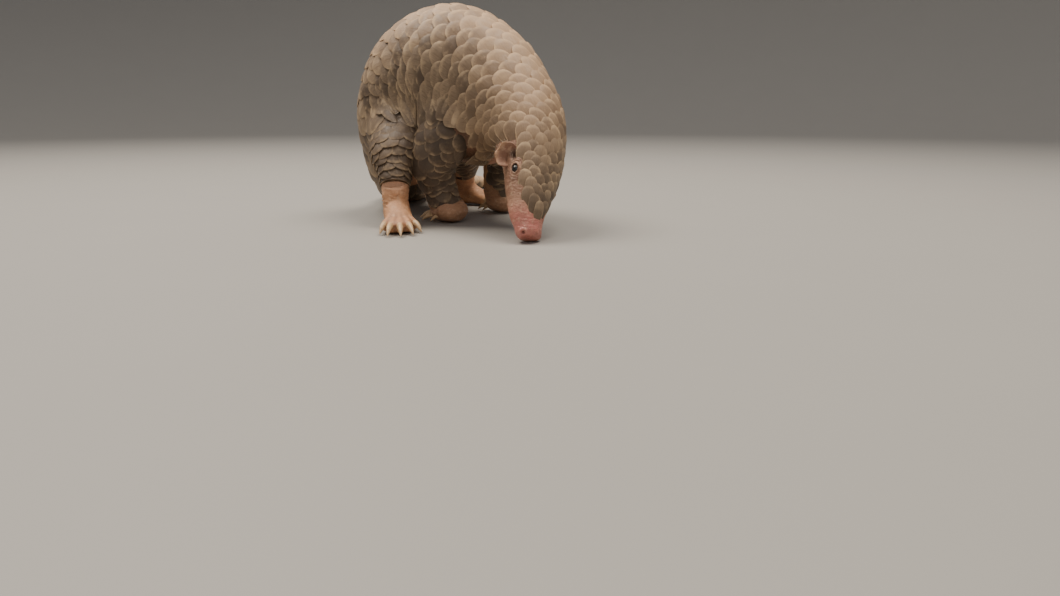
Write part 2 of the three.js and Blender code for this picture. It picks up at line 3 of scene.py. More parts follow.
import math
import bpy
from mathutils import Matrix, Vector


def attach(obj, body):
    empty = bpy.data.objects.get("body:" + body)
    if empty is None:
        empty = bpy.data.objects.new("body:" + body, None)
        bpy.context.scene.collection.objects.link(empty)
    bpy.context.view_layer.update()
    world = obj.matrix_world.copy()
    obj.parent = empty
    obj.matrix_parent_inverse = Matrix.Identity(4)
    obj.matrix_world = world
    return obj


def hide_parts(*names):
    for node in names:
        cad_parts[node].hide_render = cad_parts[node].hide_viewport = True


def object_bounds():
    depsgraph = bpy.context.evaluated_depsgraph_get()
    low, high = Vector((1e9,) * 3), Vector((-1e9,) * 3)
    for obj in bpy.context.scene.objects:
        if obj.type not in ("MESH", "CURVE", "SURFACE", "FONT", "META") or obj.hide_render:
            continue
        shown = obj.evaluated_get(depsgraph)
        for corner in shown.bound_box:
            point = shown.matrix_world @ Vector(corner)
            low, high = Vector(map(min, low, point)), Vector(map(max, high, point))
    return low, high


bl_info = {
    "name": "Standing pangolin",
    "version": (1, 0, 0),
    "blender": (4, 5, 0),
    "location": "View3D > Sidebar > Pangolin",
    "description": "A life-size Chinese pangolin, standing hunched with its nose to the ground",
    "category": "Add Mesh",
}

import bpy
import numpy as np
from bpy.props import FloatProperty, FloatVectorProperty, IntProperty, PointerProperty
from bpy.types import Operator, Panel, PropertyGroup
from mathutils import Vector

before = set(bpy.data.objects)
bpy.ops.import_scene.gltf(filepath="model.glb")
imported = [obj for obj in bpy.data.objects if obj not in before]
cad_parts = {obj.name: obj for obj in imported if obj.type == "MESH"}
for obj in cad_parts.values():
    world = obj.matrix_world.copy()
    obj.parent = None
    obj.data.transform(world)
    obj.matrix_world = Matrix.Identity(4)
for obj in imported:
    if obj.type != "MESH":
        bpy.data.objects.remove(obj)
CAD_BOX = [list(corner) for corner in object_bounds()]

MM = 0.001
UP = np.array([0, 0, 1.0])
STAND = np.array([-44.0, -39.0, 0.0])  # the middle of the animal's footprint, in mm
SIDES = {"right": -1, "left": 1}

# The line of the animal from its nose to the tip of its tail, in mm. Each station has its middle,
# the way its back faces, and its half width, back and belly
FACE_UP = (0.2, -0.85, 0.48)
SPINE = {
    "nose": ((-45, -124, 8.5), FACE_UP, (12, 9.5, 8.5)),
    "muzzle": ((-40, -118, 20), FACE_UP, (16, 12.5, 11.5)),
    "bridge": ((-31, -111, 34), FACE_UP, (20.5, 16.5, 16)),
    "eyes": ((-20, -104, 49), FACE_UP, (24.5, 20, 21)),
    "ears": ((-9, -94, 67), FACE_UP, (28, 24, 27)),
    "nape": ((1, -77, 86), (0.08, -0.72, 0.68), (33, 30, 38)),
    "neck": ((7, -53, 102), (0, -0.5, 0.87), (39, 38, 60)),
    "shoulders": ((10, -22, 116), (0, -0.2, 0.98), (47, 49.5, 70)),
    "back": ((6, 16, 125), (0, 0.15, 0.99), (53, 58, 58)),
    "loin": ((0, 49, 114), (-0.05, 0.5, 0.85), (53, 57, 46)),
    "rump": ((-4, 73, 86), (-0.05, 0.78, 0.6), (47, 45, 40)),
    "root": ((2, 94, 54), (-0.2, 0.75, 0.65), (35, 29, 28)),
    "tail1": ((21, 116, 31), (-0.2, 0.4, 0.9), (29, 22, 21)),
    "tail2": ((40, 142, 19), (0, 0.1, 1), (27, 17, 17)),
    "tail3": ((64, 165, 15), UP, (25, 14, 13.5)),
    "tail4": ((94, 182, 12.5), UP, (22.5, 12, 11.5)),
    "tail5": ((126, 191, 10.5), UP, (19.5, 10, 9.5)),
    "tail6": ((158, 192, 9), UP, (16, 8.5, 8)),
    "tail7": ((184, 186, 7.5), UP, (11, 6.5, 6.5)),
    "tail8": ((192.5, 182.8, 6.3), UP, (6.5, 4.6, 4.6)),
    "tip": ((198, 179.8, 5), UP, (0.8, 0.8, 0.8)),
}
STATION = {name: float(i) for i, name in enumerate(SPINE)}
RIGHT_OUT = (-0.8, -0.6, 0)
LEFT_OUT = (0.8, -0.6, 0)
LEGS = {
    "foreleg_right": (
        ((-4, -22, 108), RIGHT_OUT, (24, 20, 24)),
        ((-23, -13, 82), RIGHT_OUT, (25, 20, 24)),
        ((-35, 0, 55), RIGHT_OUT, (21, 18, 19)),
        ((-29, 2, 33), RIGHT_OUT, (15.5, 14, 15)),
        ((-24, -2, 15), RIGHT_OUT, (14, 13.5, 14)),
    ),
    "foreleg_left": (
        ((24, -20, 106), LEFT_OUT, (24, 20, 24)),
        ((42, -9, 80), LEFT_OUT, (24, 20, 23)),
        ((52, 5, 54), LEFT_OUT, (21, 18, 19)),
        ((53, 10, 33), LEFT_OUT, (17, 15, 16)),
        ((52, 9, 15), LEFT_OUT, (15, 14.5, 14.5)),
    ),
    "hindleg_right": (
        ((-10, 60, 94), (-0.8, 0.2, 0.5), (34, 28, 30)),
        ((-33, 45, 79), (-0.9, 0.1, 0.4), (34, 26, 28)),
        ((-53.5, 26.5, 61), (-0.9, -0.3, 0.2), (24, 19.5, 21)),
        ((-63, 16, 46), (-0.8, -0.5, 0), (14.5, 14, 15)),
        ((-68.5, 9.5, 34), (-0.7, -0.7, 0), (11.5, 11, 11.5)),
    ),
    "hindleg_left": (
        ((10, 63, 94), (0.8, 0.2, 0.5), (34, 28, 30)),
        ((34, 60, 79), (0.9, 0.1, 0.4), (34, 27, 28)),
        ((50, 63, 61), (0.9, -0.3, 0.2), (26, 21, 24)),
        ((59, 68, 46), (0.8, -0.5, 0), (17, 15, 16)),
        ((64, 73, 34), (0.7, -0.7, 0), (13, 11.5, 12.5)),
    ),
}


def linear(red, green, blue):
    """A colour as seen on a screen, from 0 to 255, in the renderer's linear light."""
    seen = np.array([red, green, blue]) / 255
    return tuple(np.where(seen < 0.04045, seen / 12.92, ((seen + 0.055) / 1.055) ** 2.4))


def colour_prop(name, description, shade):
    return FloatVectorProperty(
        name=name, description=description, subtype="COLOR", size=3, min=0, max=1, default=shade
    )


def size_prop(name, description, default, low, high):
    """A size in millimetres."""
    return FloatProperty(name=name, description=description, default=default, min=low, max=high)


class PANGOLIN_PG_sizes(PropertyGroup):
    """Sizes of the animal's covering, in millimetres."""

    row_pitch: size_prop("Row pitch", "From one row of body scales to the next, in mm", 7.2, 5, 16)
    scale_width: size_prop("Scale width", "Width of a body scale, in mm", 23.0, 10, 32)
    head_pitch: size_prop("Head row pitch", "From one row on the face to the next, in mm", 3.6, 2, 9)
    head_width: size_prop("Head scale width", "Width of a scale on the face, in mm", 10.0, 5, 16)
    scale_depth: size_prop("Scale thickness", "Thickness of a body scale, in mm", 1.25, 0.5, 3)
    skin_voxel: size_prop("Skin detail", "Size of the facets of the skin, in mm", 1.85, 1.2, 4)
    hair_length: size_prop("Hair length", "Length of the longest hairs, in mm", 8.0, 2, 15)
    hair_count: IntProperty(
        name="Hairs", description="Number of hairs on the bare skin", default=2600, min=0, max=8000
    )
    seed: IntProperty(name="Seed", description="Start of the random draws", default=20160, min=0)


class PANGOLIN_PG_colours(PropertyGroup):
    """Colours of the animal's surfaces."""

    scale: colour_prop("Scale", "Horn of the scales", linear(120, 101, 82))
    scale_dark: colour_prop("Scale, dark", "Older and dirtier horn", linear(78, 63, 50))
    scale_rim: colour_prop("Scale rim", "Worn free edge of a scale", linear(214, 184, 144))
    skin: colour_prop("Skin", "Bare skin of the face, belly and legs", linear(196, 152, 124))
    nose: colour_prop("Nose", "Moist skin of the nose", linear(190, 112, 100))
    mud: colour_prop("Mud", "Dried mud on the forelegs", linear(206, 156, 104))
    claw: colour_prop("Claw", "Horn of the claws", linear(208, 176, 136))
    floor: colour_prop("Floor", "The plain floor", linear(156, 153, 148))


# Curves and surfaces


def smooth(low, high, value):
    """0 below low, 1 above high, and 3t^2 - 2t^3 between."""
    t = np.clip((value - low) / (high - low), 0, 1)
    return t * t * (3 - 2 * t)


def bell(value, middle, width):
    """1 at the middle, falling as exp(-t^2), where t is the distance from it over the width."""
    return np.exp(-(((value - middle) / width) ** 2))


def marked(marks, factor=1.0):
    """A function of the station, straight between marks given as {station: value}."""
    return lambda s: factor * np.interp(s, list(marks), list(marks.values()))


def turns(count):
    """Angles evenly round a circle."""
    return np.linspace(0, 2 * np.pi, count, endpoint=False)


def away(points, place):
    """Distance of each point from a place."""
    return np.linalg.norm(points - place, axis=-1)


def unit(vectors):
    return vectors / np.maximum(np.linalg.norm(vectors, axis=-1, keepdims=True), 1e-12)


def dot(one, two):
    return np.sum(one * two, axis=-1)


class Tube:
    """A tube of flesh round a line through stations, each with a middle, a way up and a size.

    Between two stations every number follows a Catmull-Rom cubic. The surface at station s and angle
    a is the middle, plus the way left times (half width + lift) sin a, plus the way up times
    (back or belly + lift) cos a, so angle 0 is the back and a quarter turn is the left side.
    """

    def __init__(self, stations):
        rows = np.array([np.concatenate([at, up, size]) for at, up, size in stations], float)
        self.last = len(rows) - 1
        self.rows = np.vstack([2 * rows[0] - rows[1], rows, 2 * rows[-1] - rows[-2]])

    def frame(self, s):
        """Middle, way along, way up, way left and size at each station number, as arrays."""
        s = np.clip(np.asarray(s, float), 0, self.last)
        i = np.minimum(s.astype(int), self.last - 1)
        w = (s - i)[..., None]
        before, start, end, after = (self.rows[i + k] for k in range(4))
        leave = (end - before) / 2
        reach = (after - start) / 2
        value = (
            (2 * w**3 - 3 * w**2 + 1) * start
            + (w**3 - 2 * w**2 + w) * leave
            + (3 * w**2 - 2 * w**3) * end
            + (w**3 - w**2) * reach
        )
        slope = (
            (6 * w**2 - 6 * w) * (start - end)
            + (3 * w**2 - 4 * w + 1) * leave
            + (3 * w**2 - 2 * w) * reach
        )
        along = unit(slope[..., :3])
        up = value[..., 3:6]
        up = unit(up - along * dot(up, along)[..., None])
        left = np.cross(along, up)
        return value[..., :3], along, up, left, value[..., 6:9]

    def point(self, s, angle, lift=0.0):
        """Points on the surface, lifted off it by some mm."""
        s, angle, lift = np.broadcast_arrays(np.asarray(s, float), angle, lift)
        at, _, up, left, size = self.frame(s)
        cosine = np.cos(angle)
        height = np.where(cosine > 0, size[..., 1], size[..., 2]) + lift
        across = ((size[..., 0] + lift) * np.sin(angle))[..., None]
        return at + left * across + up * (height * cosine)[..., None]

    def ways(self, s, angle, step):
        """From one point of the surface to the next, along the tube and round it, over two steps."""
        along = self.point(s + step, angle) - self.point(s - step, angle)
        return along, self.point(s, angle + step) - self.point(s, angle - step)

    def pace(self, s, angle):
        """Millimetres for one station, and for one radian, on the surface."""
        step = 0.01
        return tuple(np.linalg.norm(way, axis=-1) / (2 * step) for way in self.ways(s, angle, step))

    def spot(self, s, angle):
        """A point with its way out, way back along the tube and way left, as unit vectors."""
        at = self.point(s, angle)
        back, side = (unit(way) for way in self.ways(s, angle, 0.02))
        out = unit(np.cross(side, back))
        middle = self.frame(s)[0]
        out = np.where(dot(out, at - middle)[..., None] < 0, -out, out)
        return at, out, back, side

    def nearest(self, points):
        """Station, angle and height over the surface of the place on the tube next to each point.

        The station is the sample of the middle line that is nearest, moved along four times by the
        point's distance along the line divided by the line's pace. The angle is that of the point in
        the stretched circle of the station.
        """
        samples = np.linspace(0, self.last, 10 * self.last + 1)
        line = self.frame(samples)[0]
        squares = np.sum(points**2, axis=1)[:, None] - 2 * points @ line.T + np.sum(line**2, axis=1)
        s = samples[np.argmin(squares, axis=1)]
        for _ in range(4):
            at, along, *_ = self.frame(s)
            step = 0.01
            pace = away(self.frame(s + step)[0], self.frame(s - step)[0])
            s = np.clip(s + dot(points - at, along) * 2 * step / np.maximum(pace, 1e-3), 0, self.last)
        at, along, up, left, size = self.frame(s)
        offset = points - at
        x = dot(offset, left)
        y = dot(offset, up)
        height = np.where(y > 0, size[:, 1], size[:, 2])
        angle = np.arctan2(x / size[:, 0], y / height)
        radius = np.hypot(size[:, 0] * np.sin(angle), height * np.cos(angle))
        lift = (np.hypot(x / size[:, 0], y / height) - 1) * radius
        past = dot(offset, along)
        return s, angle, np.where(np.abs(past) > 1, np.maximum(lift, np.abs(past)), lift)


spine = Tube(SPINE.values())
legs = {name: Tube(stations) for name, stations in LEGS.items()}

# Meshes


def grid_faces(rows, columns, closed=False):
    """Quads over a grid of points. Where closed, the last column meets the first."""
    i = np.arange(rows - 1)[:, None]
    j = np.arange(columns if closed else columns - 1)[None, :]
    k = (j + 1) % columns
    quads = np.stack([i * columns + j, i * columns + k, (i + 1) * columns + k, (i + 1) * columns + j], -1)
    return quads.reshape(-1, 4)


class Shape:
    """Closed surfaces as points in mm and faces of any number of corners."""

    def __init__(self):
        self.points = []
        self.faces = []
        self.count = 0

    def tube(self, rings):
        """Adds a closed surface over rings of points [ring, point, xyz], with a fan over each end."""
        count, sides, _ = rings.shape
        first = count * sides
        last = first - sides
        k = np.arange(sides)
        n = (k + 1) % sides
        parts = (
            grid_faces(count, sides, closed=True)[:, ::-1],
            np.stack([n, k, np.full(sides, first)], -1),
            np.stack([last + k, last + n, np.full(sides, first + 1)], -1),
        )
        self.faces.extend(part + self.count for part in parts)
        self.points.append(np.vstack([rings.reshape(-1, 3), rings[[0, -1]].mean(axis=1)]))
        self.count += first + 2
        return self

    def mesh(self):
        return np.vstack(self.points), self.faces


def tube_map(along, turn):
    """Map places of a closed tube: how far along and how far round each point is, then its ends."""
    places = np.stack(np.broadcast_arrays(along[..., 0], turn[..., 0] / (2 * np.pi)), -1)
    return np.vstack([places.reshape(-1, 2), [[0, 0], [1, 0]]])


def mesh_object(name, points, faces, sharp=None, corner_maps=None, point_values=None):
    """An object from points in mm in the drawing's place, and faces as a list of index arrays.

    A value on points is a number, or a colour where it has three columns.
    """
    points = (np.asarray(points) + STAND) * MM
    points[:, 2] = np.maximum(points[:, 2], 0)
    corners = np.concatenate([np.ravel(f) for f in faces])
    totals = np.concatenate([np.full(len(f), np.shape(f)[1]) for f in faces])
    mesh = bpy.data.meshes.new(name)
    mesh.vertices.add(len(points))
    mesh.vertices.foreach_set("co", points.astype(np.float32).ravel())
    mesh.loops.add(len(corners))
    mesh.loops.foreach_set("vertex_index", corners.astype(np.int32))
    mesh.polygons.add(len(totals))
    mesh.polygons.foreach_set("loop_start", (np.cumsum(totals) - totals).astype(np.int32))
    mesh.update(calc_edges=True)
    for map_name, places in (corner_maps or {}).items():
        layer = mesh.uv_layers.new(name=map_name)
        layer.uv.foreach_set("vector", places[corners].astype(np.float32).ravel())
    for value_name, values in (point_values or {}).items():
        if values.ndim == 1:
            layer = mesh.attributes.new(value_name, "FLOAT", "POINT")
            layer.data.foreach_set("value", values.astype(np.float32))
        else:
            layer = mesh.attributes.new(value_name, "FLOAT_COLOR", "POINT")
            shades = np.concatenate([values, np.ones((len(values), 1))], axis=1)
            layer.data.foreach_set("color", shades.astype(np.float32).ravel())
    mesh.polygons.foreach_set("use_smooth", np.ones(len(totals), bool))
    if sharp is not None:
        mesh.set_sharp_from_angle(angle=sharp)
    mesh.validate()
    made = bpy.data.objects.new(name, mesh)
    bpy.context.scene.collection.objects.link(made)
    return made


def make_piece(name, points, faces, material, slot, nodes=(), **details):
    """A piece with its material, its place on the body and the solids that it stands for."""
    piece = mesh_object(name, points, faces, **details)
    piece.data.materials.append(material)
    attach(piece, "root")
    if nodes:
        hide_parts(*nodes)


# Materials


class Finish:
    """A material's node tree, built up by name."""

    def __init__(self, name):
        self.material = bpy.data.materials.new(name)
        self.material.use_nodes = True
        self.tree = self.material.node_tree
        self.shader = self.tree.nodes["Principled BSDF"]

    def put(self, socket, value):
        if isinstance(value, bpy.types.NodeSocket):
            self.tree.links.new(value, socket)
        else:
            socket.default_value = value

    def node(self, kind, inputs, output=0, **settings):
        """Adds a node, and gives one of its outputs, or all where the output is None."""
        made = self.tree.nodes.new("ShaderNode" + kind)
        for key, value in settings.items():
            setattr(made, key, value)
        for key, value in inputs.items():
            self.put(made.inputs[key], value)
        return made.outputs if output is None else made.outputs[output]

    def object_place(self, stretch=(1, 1, 1)):
        place = self.node("TexCoord", {}, "Object")
        return self.node("Mapping", {"Vector": place, "Scale": stretch})

    def map_place(self, name, scale):
        place = self.node("UVMap", {}, uv_map=name)
        return self.node("Mapping", {"Vector": place, "Scale": scale})

    def map_parts(self, name):
        """The two numbers of a map, as sockets X and Y."""
        return self.node("SeparateXYZ", {"Vector": self.node("UVMap", {}, uv_map=name)}, None)

    def wobbled(self, place, scale, amount):
        """A place moved by up to half the amount, in metres, by noise of a scale."""
        shift = self.node("TexNoise", {"Vector": place, "Scale": scale}, "Color")
        middle = self.node("VectorMath", {0: shift, 1: (0.5, 0.5, 0.5)}, operation="SUBTRACT")
        moved = self.node("VectorMath", {0: middle, "Scale": amount}, operation="SCALE")
        return self.node("VectorMath", {0: place, 1: moved}, operation="ADD")

    def noise(self, place, scale, detail=4.0, rough=0.55):
        inputs = {"Vector": place, "Scale": scale, "Detail": detail, "Roughness": rough}
        return self.node("TexNoise", inputs, "Fac")

    def cells(self, place, scale, feature="F1"):
        return self.node("TexVoronoi", {"Vector": place, "Scale": scale}, "Distance", feature=feature)

    def value(self, name, output="Fac"):
        return self.node("Attribute", {}, output, attribute_name=name)

    def math(self, operation, one, two=0.0):
        return self.node("Math", {0: one, 1: two}, operation=operation)

    def ramp(self, value, low, high, to_low=0.0, to_high=1.0):
        inputs = {"Value": value, "From Min": low, "From Max": high, "To Min": to_low, "To Max": to_high}
        return self.node("MapRange", inputs, "Result", interpolation_type="SMOOTHSTEP")

    def mix(self, factor, one, two):
        one, two = ((*value, 1.0) if isinstance(value, tuple) else value for value in (one, two))
        return self.node("Mix", {0: factor, 6: one, 7: two}, 2, data_type="RGBA")

    def coats(self, colour, *layers):
        """A colour under others, each laid on up to its share where a value goes from low to high."""
        for value, low, high, share, shade in layers:
            colour = self.mix(self.ramp(value, low, high, 0.0, share), colour, shade)
        return colour

    def bumps(self, *layers):
        """One bump over another, each a height with its strength and its distance in metres."""
        normal = {}
        for height, strength, distance in layers:
            inputs = {"Height": height, "Strength": strength, "Distance": distance, **normal}
            normal = {"Normal": self.node("Bump", inputs, "Normal")}
        return normal

    def surface(self, colour, roughness, details=None):
        """The material, once its shader has these inputs."""
        for name, value in {"Base Color": colour, "Roughness": roughness, **(details or {})}.items():
            self.put(self.shader.inputs[name], value)
        return self.material


def scale_material():
    """Dusty horn: fine ridges that run from a scale's root, growth lines across, a worn pale rim. Painted
    shade darkens each scale towards its root, under the scale before it, and darkens the leg scales all
    over.
    """
    colours = bpy.context.scene.pangolin_colours
    dark = tuple(colours.scale_dark)
    finish = Finish("scale_horn")
    place = finish.object_place()
    plate = finish.map_parts("Plate")
    back = plate["X"]
    aside = finish.math("ABSOLUTE", finish.math("SUBTRACT", plate["Y"], 0.5))
    dust = finish.value("dust")
    broad = finish.noise(place, 28.0, 3.0)
    patchy = finish.noise(place, 75.0, 3.0)
    mottle = finish.noise(place, 150.0, 5.0)
    grain = finish.noise(finish.map_place("Plate", (2.0, 22.0, 1.0)), 1.6, 3.0)
    growth = finish.noise(finish.map_place("Plate", (14.0, 1.2, 1.0)), 1.0, 2.0)
    worn = finish.math("MAXIMUM", finish.ramp(back, 0.82, 0.98), finish.ramp(aside, 0.40, 0.495))
    for part in (
        finish.ramp(mottle, 0.34, 0.62, 0.25, 1.0),
        finish.ramp(patchy, 0.36, 0.6, 0.35, 1.0),
        finish.ramp(dust, 0.0, 0.8, 0.38, 0.7),
    ):
        worn = finish.math("MULTIPLY", worn, part)
    horn = finish.coats(
        dark,
        (broad, 0.35, 0.68, 1.0, tuple(colours.scale)),
        (finish.value("tone"), 0.0, 1.0, 0.7, linear(166, 142, 114)),
        (grain, 0.4, 0.7, 0.4, dark),
        (mottle, 0.5, 0.75, 0.4, linear(186, 162, 130)),
        # painted shade: each scale darkens towards its root, where the scale before lies over it
        (back, 0.75, 0.45, 0.55, linear(66, 52, 38)),
    )
    # Painted shade: the leg scales are mixed towards dark brown by the value that scales() gives them
    horn = finish.mix(finish.math("MULTIPLY", finish.value("painted_shade"), 0.55), horn, linear(66, 52, 40))
    horn = finish.mix(worn, horn, tuple(colours.scale_rim))
    horn = finish.mix(finish.math("MULTIPLY", dust, 0.5), horn, linear(200, 162, 124))
    ridges = finish.math("MULTIPLY", grain, finish.ramp(back, 1.0, 0.6, 0.25, 1.0))
    specks = finish.noise(place, 420.0, 4.0)
    relief = finish.bumps((ridges, 0.55, 0.0006), (growth, 0.3, 0.0004), (specks, 0.3, 0.0003))
    return finish.surface(horn, finish.ramp(mottle, 0.3, 0.7, 0.5, 0.74), relief)


def skin_material():
    """Bare wrinkled skin: its colour is the tint on its points, which holds painted shade too, broken by
    pores and dust, with painted shade in the creases and in the low parts of the folds.
    """
    finish = Finish("bare_skin")
    place = finish.object_place()
    bent = finish.wobbled(place, 220.0, 0.004)
    fine = finish.noise(place, 260.0, 5.0)
    folds = finish.noise(finish.object_place((1, 1, 3.2)), 170.0, 3.0)
    creases = finish.cells(bent, 720.0, "DISTANCE_TO_EDGE")
    dirt = finish.noise(finish.wobbled(place, 60.0, 0.01), 120.0, 6.0, 0.65)
    skin = finish.coats(
        finish.value("tint", "Color"),
        (finish.noise(place, 45.0, 4.0), 0.35, 0.7, 0.4, linear(146, 104, 80)),
        (fine, 0.5, 0.75, 0.35, linear(228, 196, 164)),
        # painted shade: darker in the creases between cells and in the low parts of the folds
        (creases, 0.12, 0.0, 0.22, linear(116, 78, 60)),
        (folds, 0.42, 0.3, 0.3, linear(126, 88, 68)),
        (dirt, 0.56, 0.7, 0.4, linear(104, 76, 56)),
    )
    relief = finish.bumps(
        (folds, 0.5, 0.0016),
        (finish.ramp(creases, 0.0, 0.25), 0.32, 0.00025),
        (finish.cells(bent, 1700.0), 0.2, 0.00015),
        (fine, 0.3, 0.0004),
    )
    return finish.surface(skin, finish.ramp(finish.value("moist"), 0.0, 1.0, 0.62, 0.34), relief)


def claw_material():
    """Worn horn: long streaks from root to tip, dirt at the root, a paler point."""
    finish = Finish("claw_horn")
    streaks = finish.noise(finish.map_place("Claw", (1.5, 26.0, 1.0)), 1.4, 3.0)
    dirt = finish.noise(finish.object_place(), 320.0, 4.0)
    horn = finish.coats(
        tuple(bpy.context.scene.pangolin_colours.claw),
        (streaks, 0.35, 0.7, 0.5, linear(168, 138, 104)),
        (finish.map_parts("Claw")["X"], 0.35, 0.0, 0.6, linear(150, 112, 84)),
        (dirt, 0.52, 0.72, 0.45, linear(112, 88, 64)),
    )
    relief = finish.bumps((streaks, 0.35, 0.0003))
    return finish.surface(horn, finish.ramp(dirt, 0.3, 0.7, 0.34, 0.52), relief)


def eye_material():
    """A dark wet eye: a brown iris round a black pupil, under a clear coat."""
    finish = Finish("dark_eye")
    fibres = finish.noise(finish.map_place("Eye", (3.0, 40.0, 1.0)), 2.0, 3.0)
    iris = finish.coats(linear(20, 13, 10), (fibres, 0.35, 0.7, 1.0, linear(40, 27, 19)))
    seen = finish.mix(finish.ramp(finish.map_parts("Eye")["X"], 0.2, 0.28), linear(5, 4, 4), iris)
    return finish.surface(seen, 0.3, {"Coat Weight": 0.22, "Coat Roughness": 0.05})


def hair_material():
    """Coarse pale bristles, darker at some roots."""
    finish = Finish("bristle")
    hair = finish.mix(finish.value("tone"), linear(120, 98, 76), linear(222, 206, 182))
    spots = finish.noise(finish.object_place(), 90.0)
    return finish.surface(finish.coats(hair, (spots, 0.4, 0.7, 0.3, linear(92, 74, 58))), 0.5)


# The skin


def foot_frame(feet, side):
    """Ways forward and outward of a foot, and a function from (ahead, aside, height) to a place."""
    ankle, yaw = feet[side]
    sign = SIDES[side]
    forward = np.array([sign * math.sin(yaw), -math.cos(yaw), 0])
    outward = np.array([sign * math.cos(yaw), math.sin(yaw), 0])

    def place(local):
        ahead, aside, height = np.moveaxis(np.asarray(local, float), -1, 0)
        ground = np.array([*ankle, 0.0]) + forward * ahead[..., None] + outward * aside[..., None]
        return ground + UP * height[..., None]

    return forward, outward, place


# Forms of a foot, in its own frame, as stations of (ahead, aside, height) and size
HIND_SOLE = (
    ((-15, 0, 7), (7, 5, 7)),
    ((-9, 0, 10), (12, 11, 10)),
    ((2, 0.5, 12), (11.5, 12.5, 12)),
    ((14, 0, 9), (12, 9, 9)),
    ((21, -0.5, 7), (13, 7, 7)),
    ((26, -0.5, 5.5), (10, 4, 5.5)),
)
FORE_FIST = (
    ((15, 0, 7), (8, 4, 7)),
    ((11, 0, 9), (14, 8, 9)),
    ((2, 0, 11), (17, 12, 11)),
    ((-7, 1, 8.5), (14, 9, 8.5)),
    ((-12, 1, 7), (9, 5, 6)),
)
HIND_TOES = ((-23, 42), (-10, 52), (1, 56), (12, 54), (22, 45))  # turn in degrees, reach of the claw
TOE_FORM = (  # share of the reach, height, size
    (0.32, 6.5, (2.5, 2.5, 3.5)),
    (0.42, 6.8, (4.0, 5.0, 6.4)),
    (0.55, 6.5, (4.1, 6.0, 6.2)),
    (0.66, 6.0, (4.3, 5.3, 5.7)),
    (0.725, 5.6, (3.3, 4.0, 4.4)),
)
FORE_CLAWS = (  # root, tip, half width, arch
    ((-2, -11, 7), (-12, -13, 1.6), 2.0, 1.5),
    ((-5, -6, 6), (-25, -5, 1.6), 3.0, 2.5),
    ((-6, 2, 6), (-30, 6, 1.8), 3.7, 3.0),
    ((-3, 9, 6), (-19, 15, 1.6), 3.0, 2.5),
    ((2, 12, 7), (-7, 17, 1.6), 2.0, 1.5),
)
KNUCKLE_FORM = (  # share of the claw, rise, half width as a share of the claw's, back, belly
    (-0.30, 3.0, 0.9, 2.0, 2.5),
    (-0.12, 2.0, 1.35, 3.6, 4.0),
    (0.10, 0.8, 1.35, 3.6, 4.0),
    (0.24, 0.0, 0.9, 2.2, 2.4),
)
HIND_FEET = {"right": ((-71, 4), math.radians(33)), "left": ((68, 76), math.radians(28))}
FORE_FEET = {"right": ((-22, -4), math.radians(-8)), "left": ((52, 7), math.radians(5))}
CLAW_SHARP = math.radians(50)
HIND_CLAW = {"root": 0.62, "root_height": 5.8, "tip_height": 1.4, "half": 3.3, "arch": 2.8}
NOSE_LENGTH = 7.2
# Marks on the head. No scale's far end comes within the clear distance
EYE = {"station": STATION["bridge"] + 0.44, "angle": math.radians(76), "clear": 9.0}
EYE_RADIUS = 3.5
EYE_DEPTH = 2.1
EAR_HOLE = {"station": STATION["eyes"] + 0.1, "angle": math.radians(82), "clear": 7.0}
EAR_RADIUS = 7.0
EAR_HEIGHT = 8.6
EAR_SPREAD = math.radians(98)
EAR_TURN = 1.05  # of the middle of the ear's cup, from the way back towards the throat, in radians
MOUTH = {"front": 0.42, "corner": 1.35, "angle": math.radians(118)}
RING_POINTS = 72  # round the trunk; half as many round a leg and a third round a toe
# Parts of the skin that get finer facets, in stations and mm
HEAD_END = 3.9
FOOT_TOP = 30
FOOT_REAR = 80
TRUNK_END = 10.9
DETAIL_RADIUS = 7.5
# Relief of the face and feet, in mm
EYE_OVAL = (1.42, 0.94)  # shares by which the oval of the lids is narrower across and along
LID_RING = 3.9
LID_FOLD = 6.3
CHEEK_FOLD = 8.1
EYE_HOLLOW = 3.8
EAR_PIT = 4.2
MOUTH_GROOVE = 1.5
NOSTRIL_PIT = 1.7
ANKLE_WAVE = 3.6
TOE_WAVE = 3.0
TOE_GROOVE = 2.2


def cover_half_angle(s):
    """How far the scales reach from the middle of the back, in radians, at each station."""
    marks = {0: 34, 0.9: 46, 1.8: 58, 2.6: 62, 3.0: 68, 3.4: 84, 3.9: 122, 4.4: 157, 5: 166, 6: 160}
    marks |= {7: 142, 8: 132, 9: 128, 10: 128, 11: 150, 12: 178, 20: 180}
    return np.radians(marked(marks)(s))


def skin_lift(s, angle):
    """Height of the skin over the solids' surface: 0.2 mm under it where bare, and under scales
    deeper by 0.5 mm on the face to 1.4 mm on the body."""
    under = smooth(-0.05, 0.22, cover_half_angle(s) - np.abs(angle))
    return -0.2 - under * np.interp(s, [0, 3, 6], [0.5, 0.8, 1.4])


def toe_end(turn, reach):
    """End of a toe's claw, ahead and aside of the ankle."""
    return np.array([math.cos(math.radians(turn)), math.sin(math.radians(turn))]) * reach


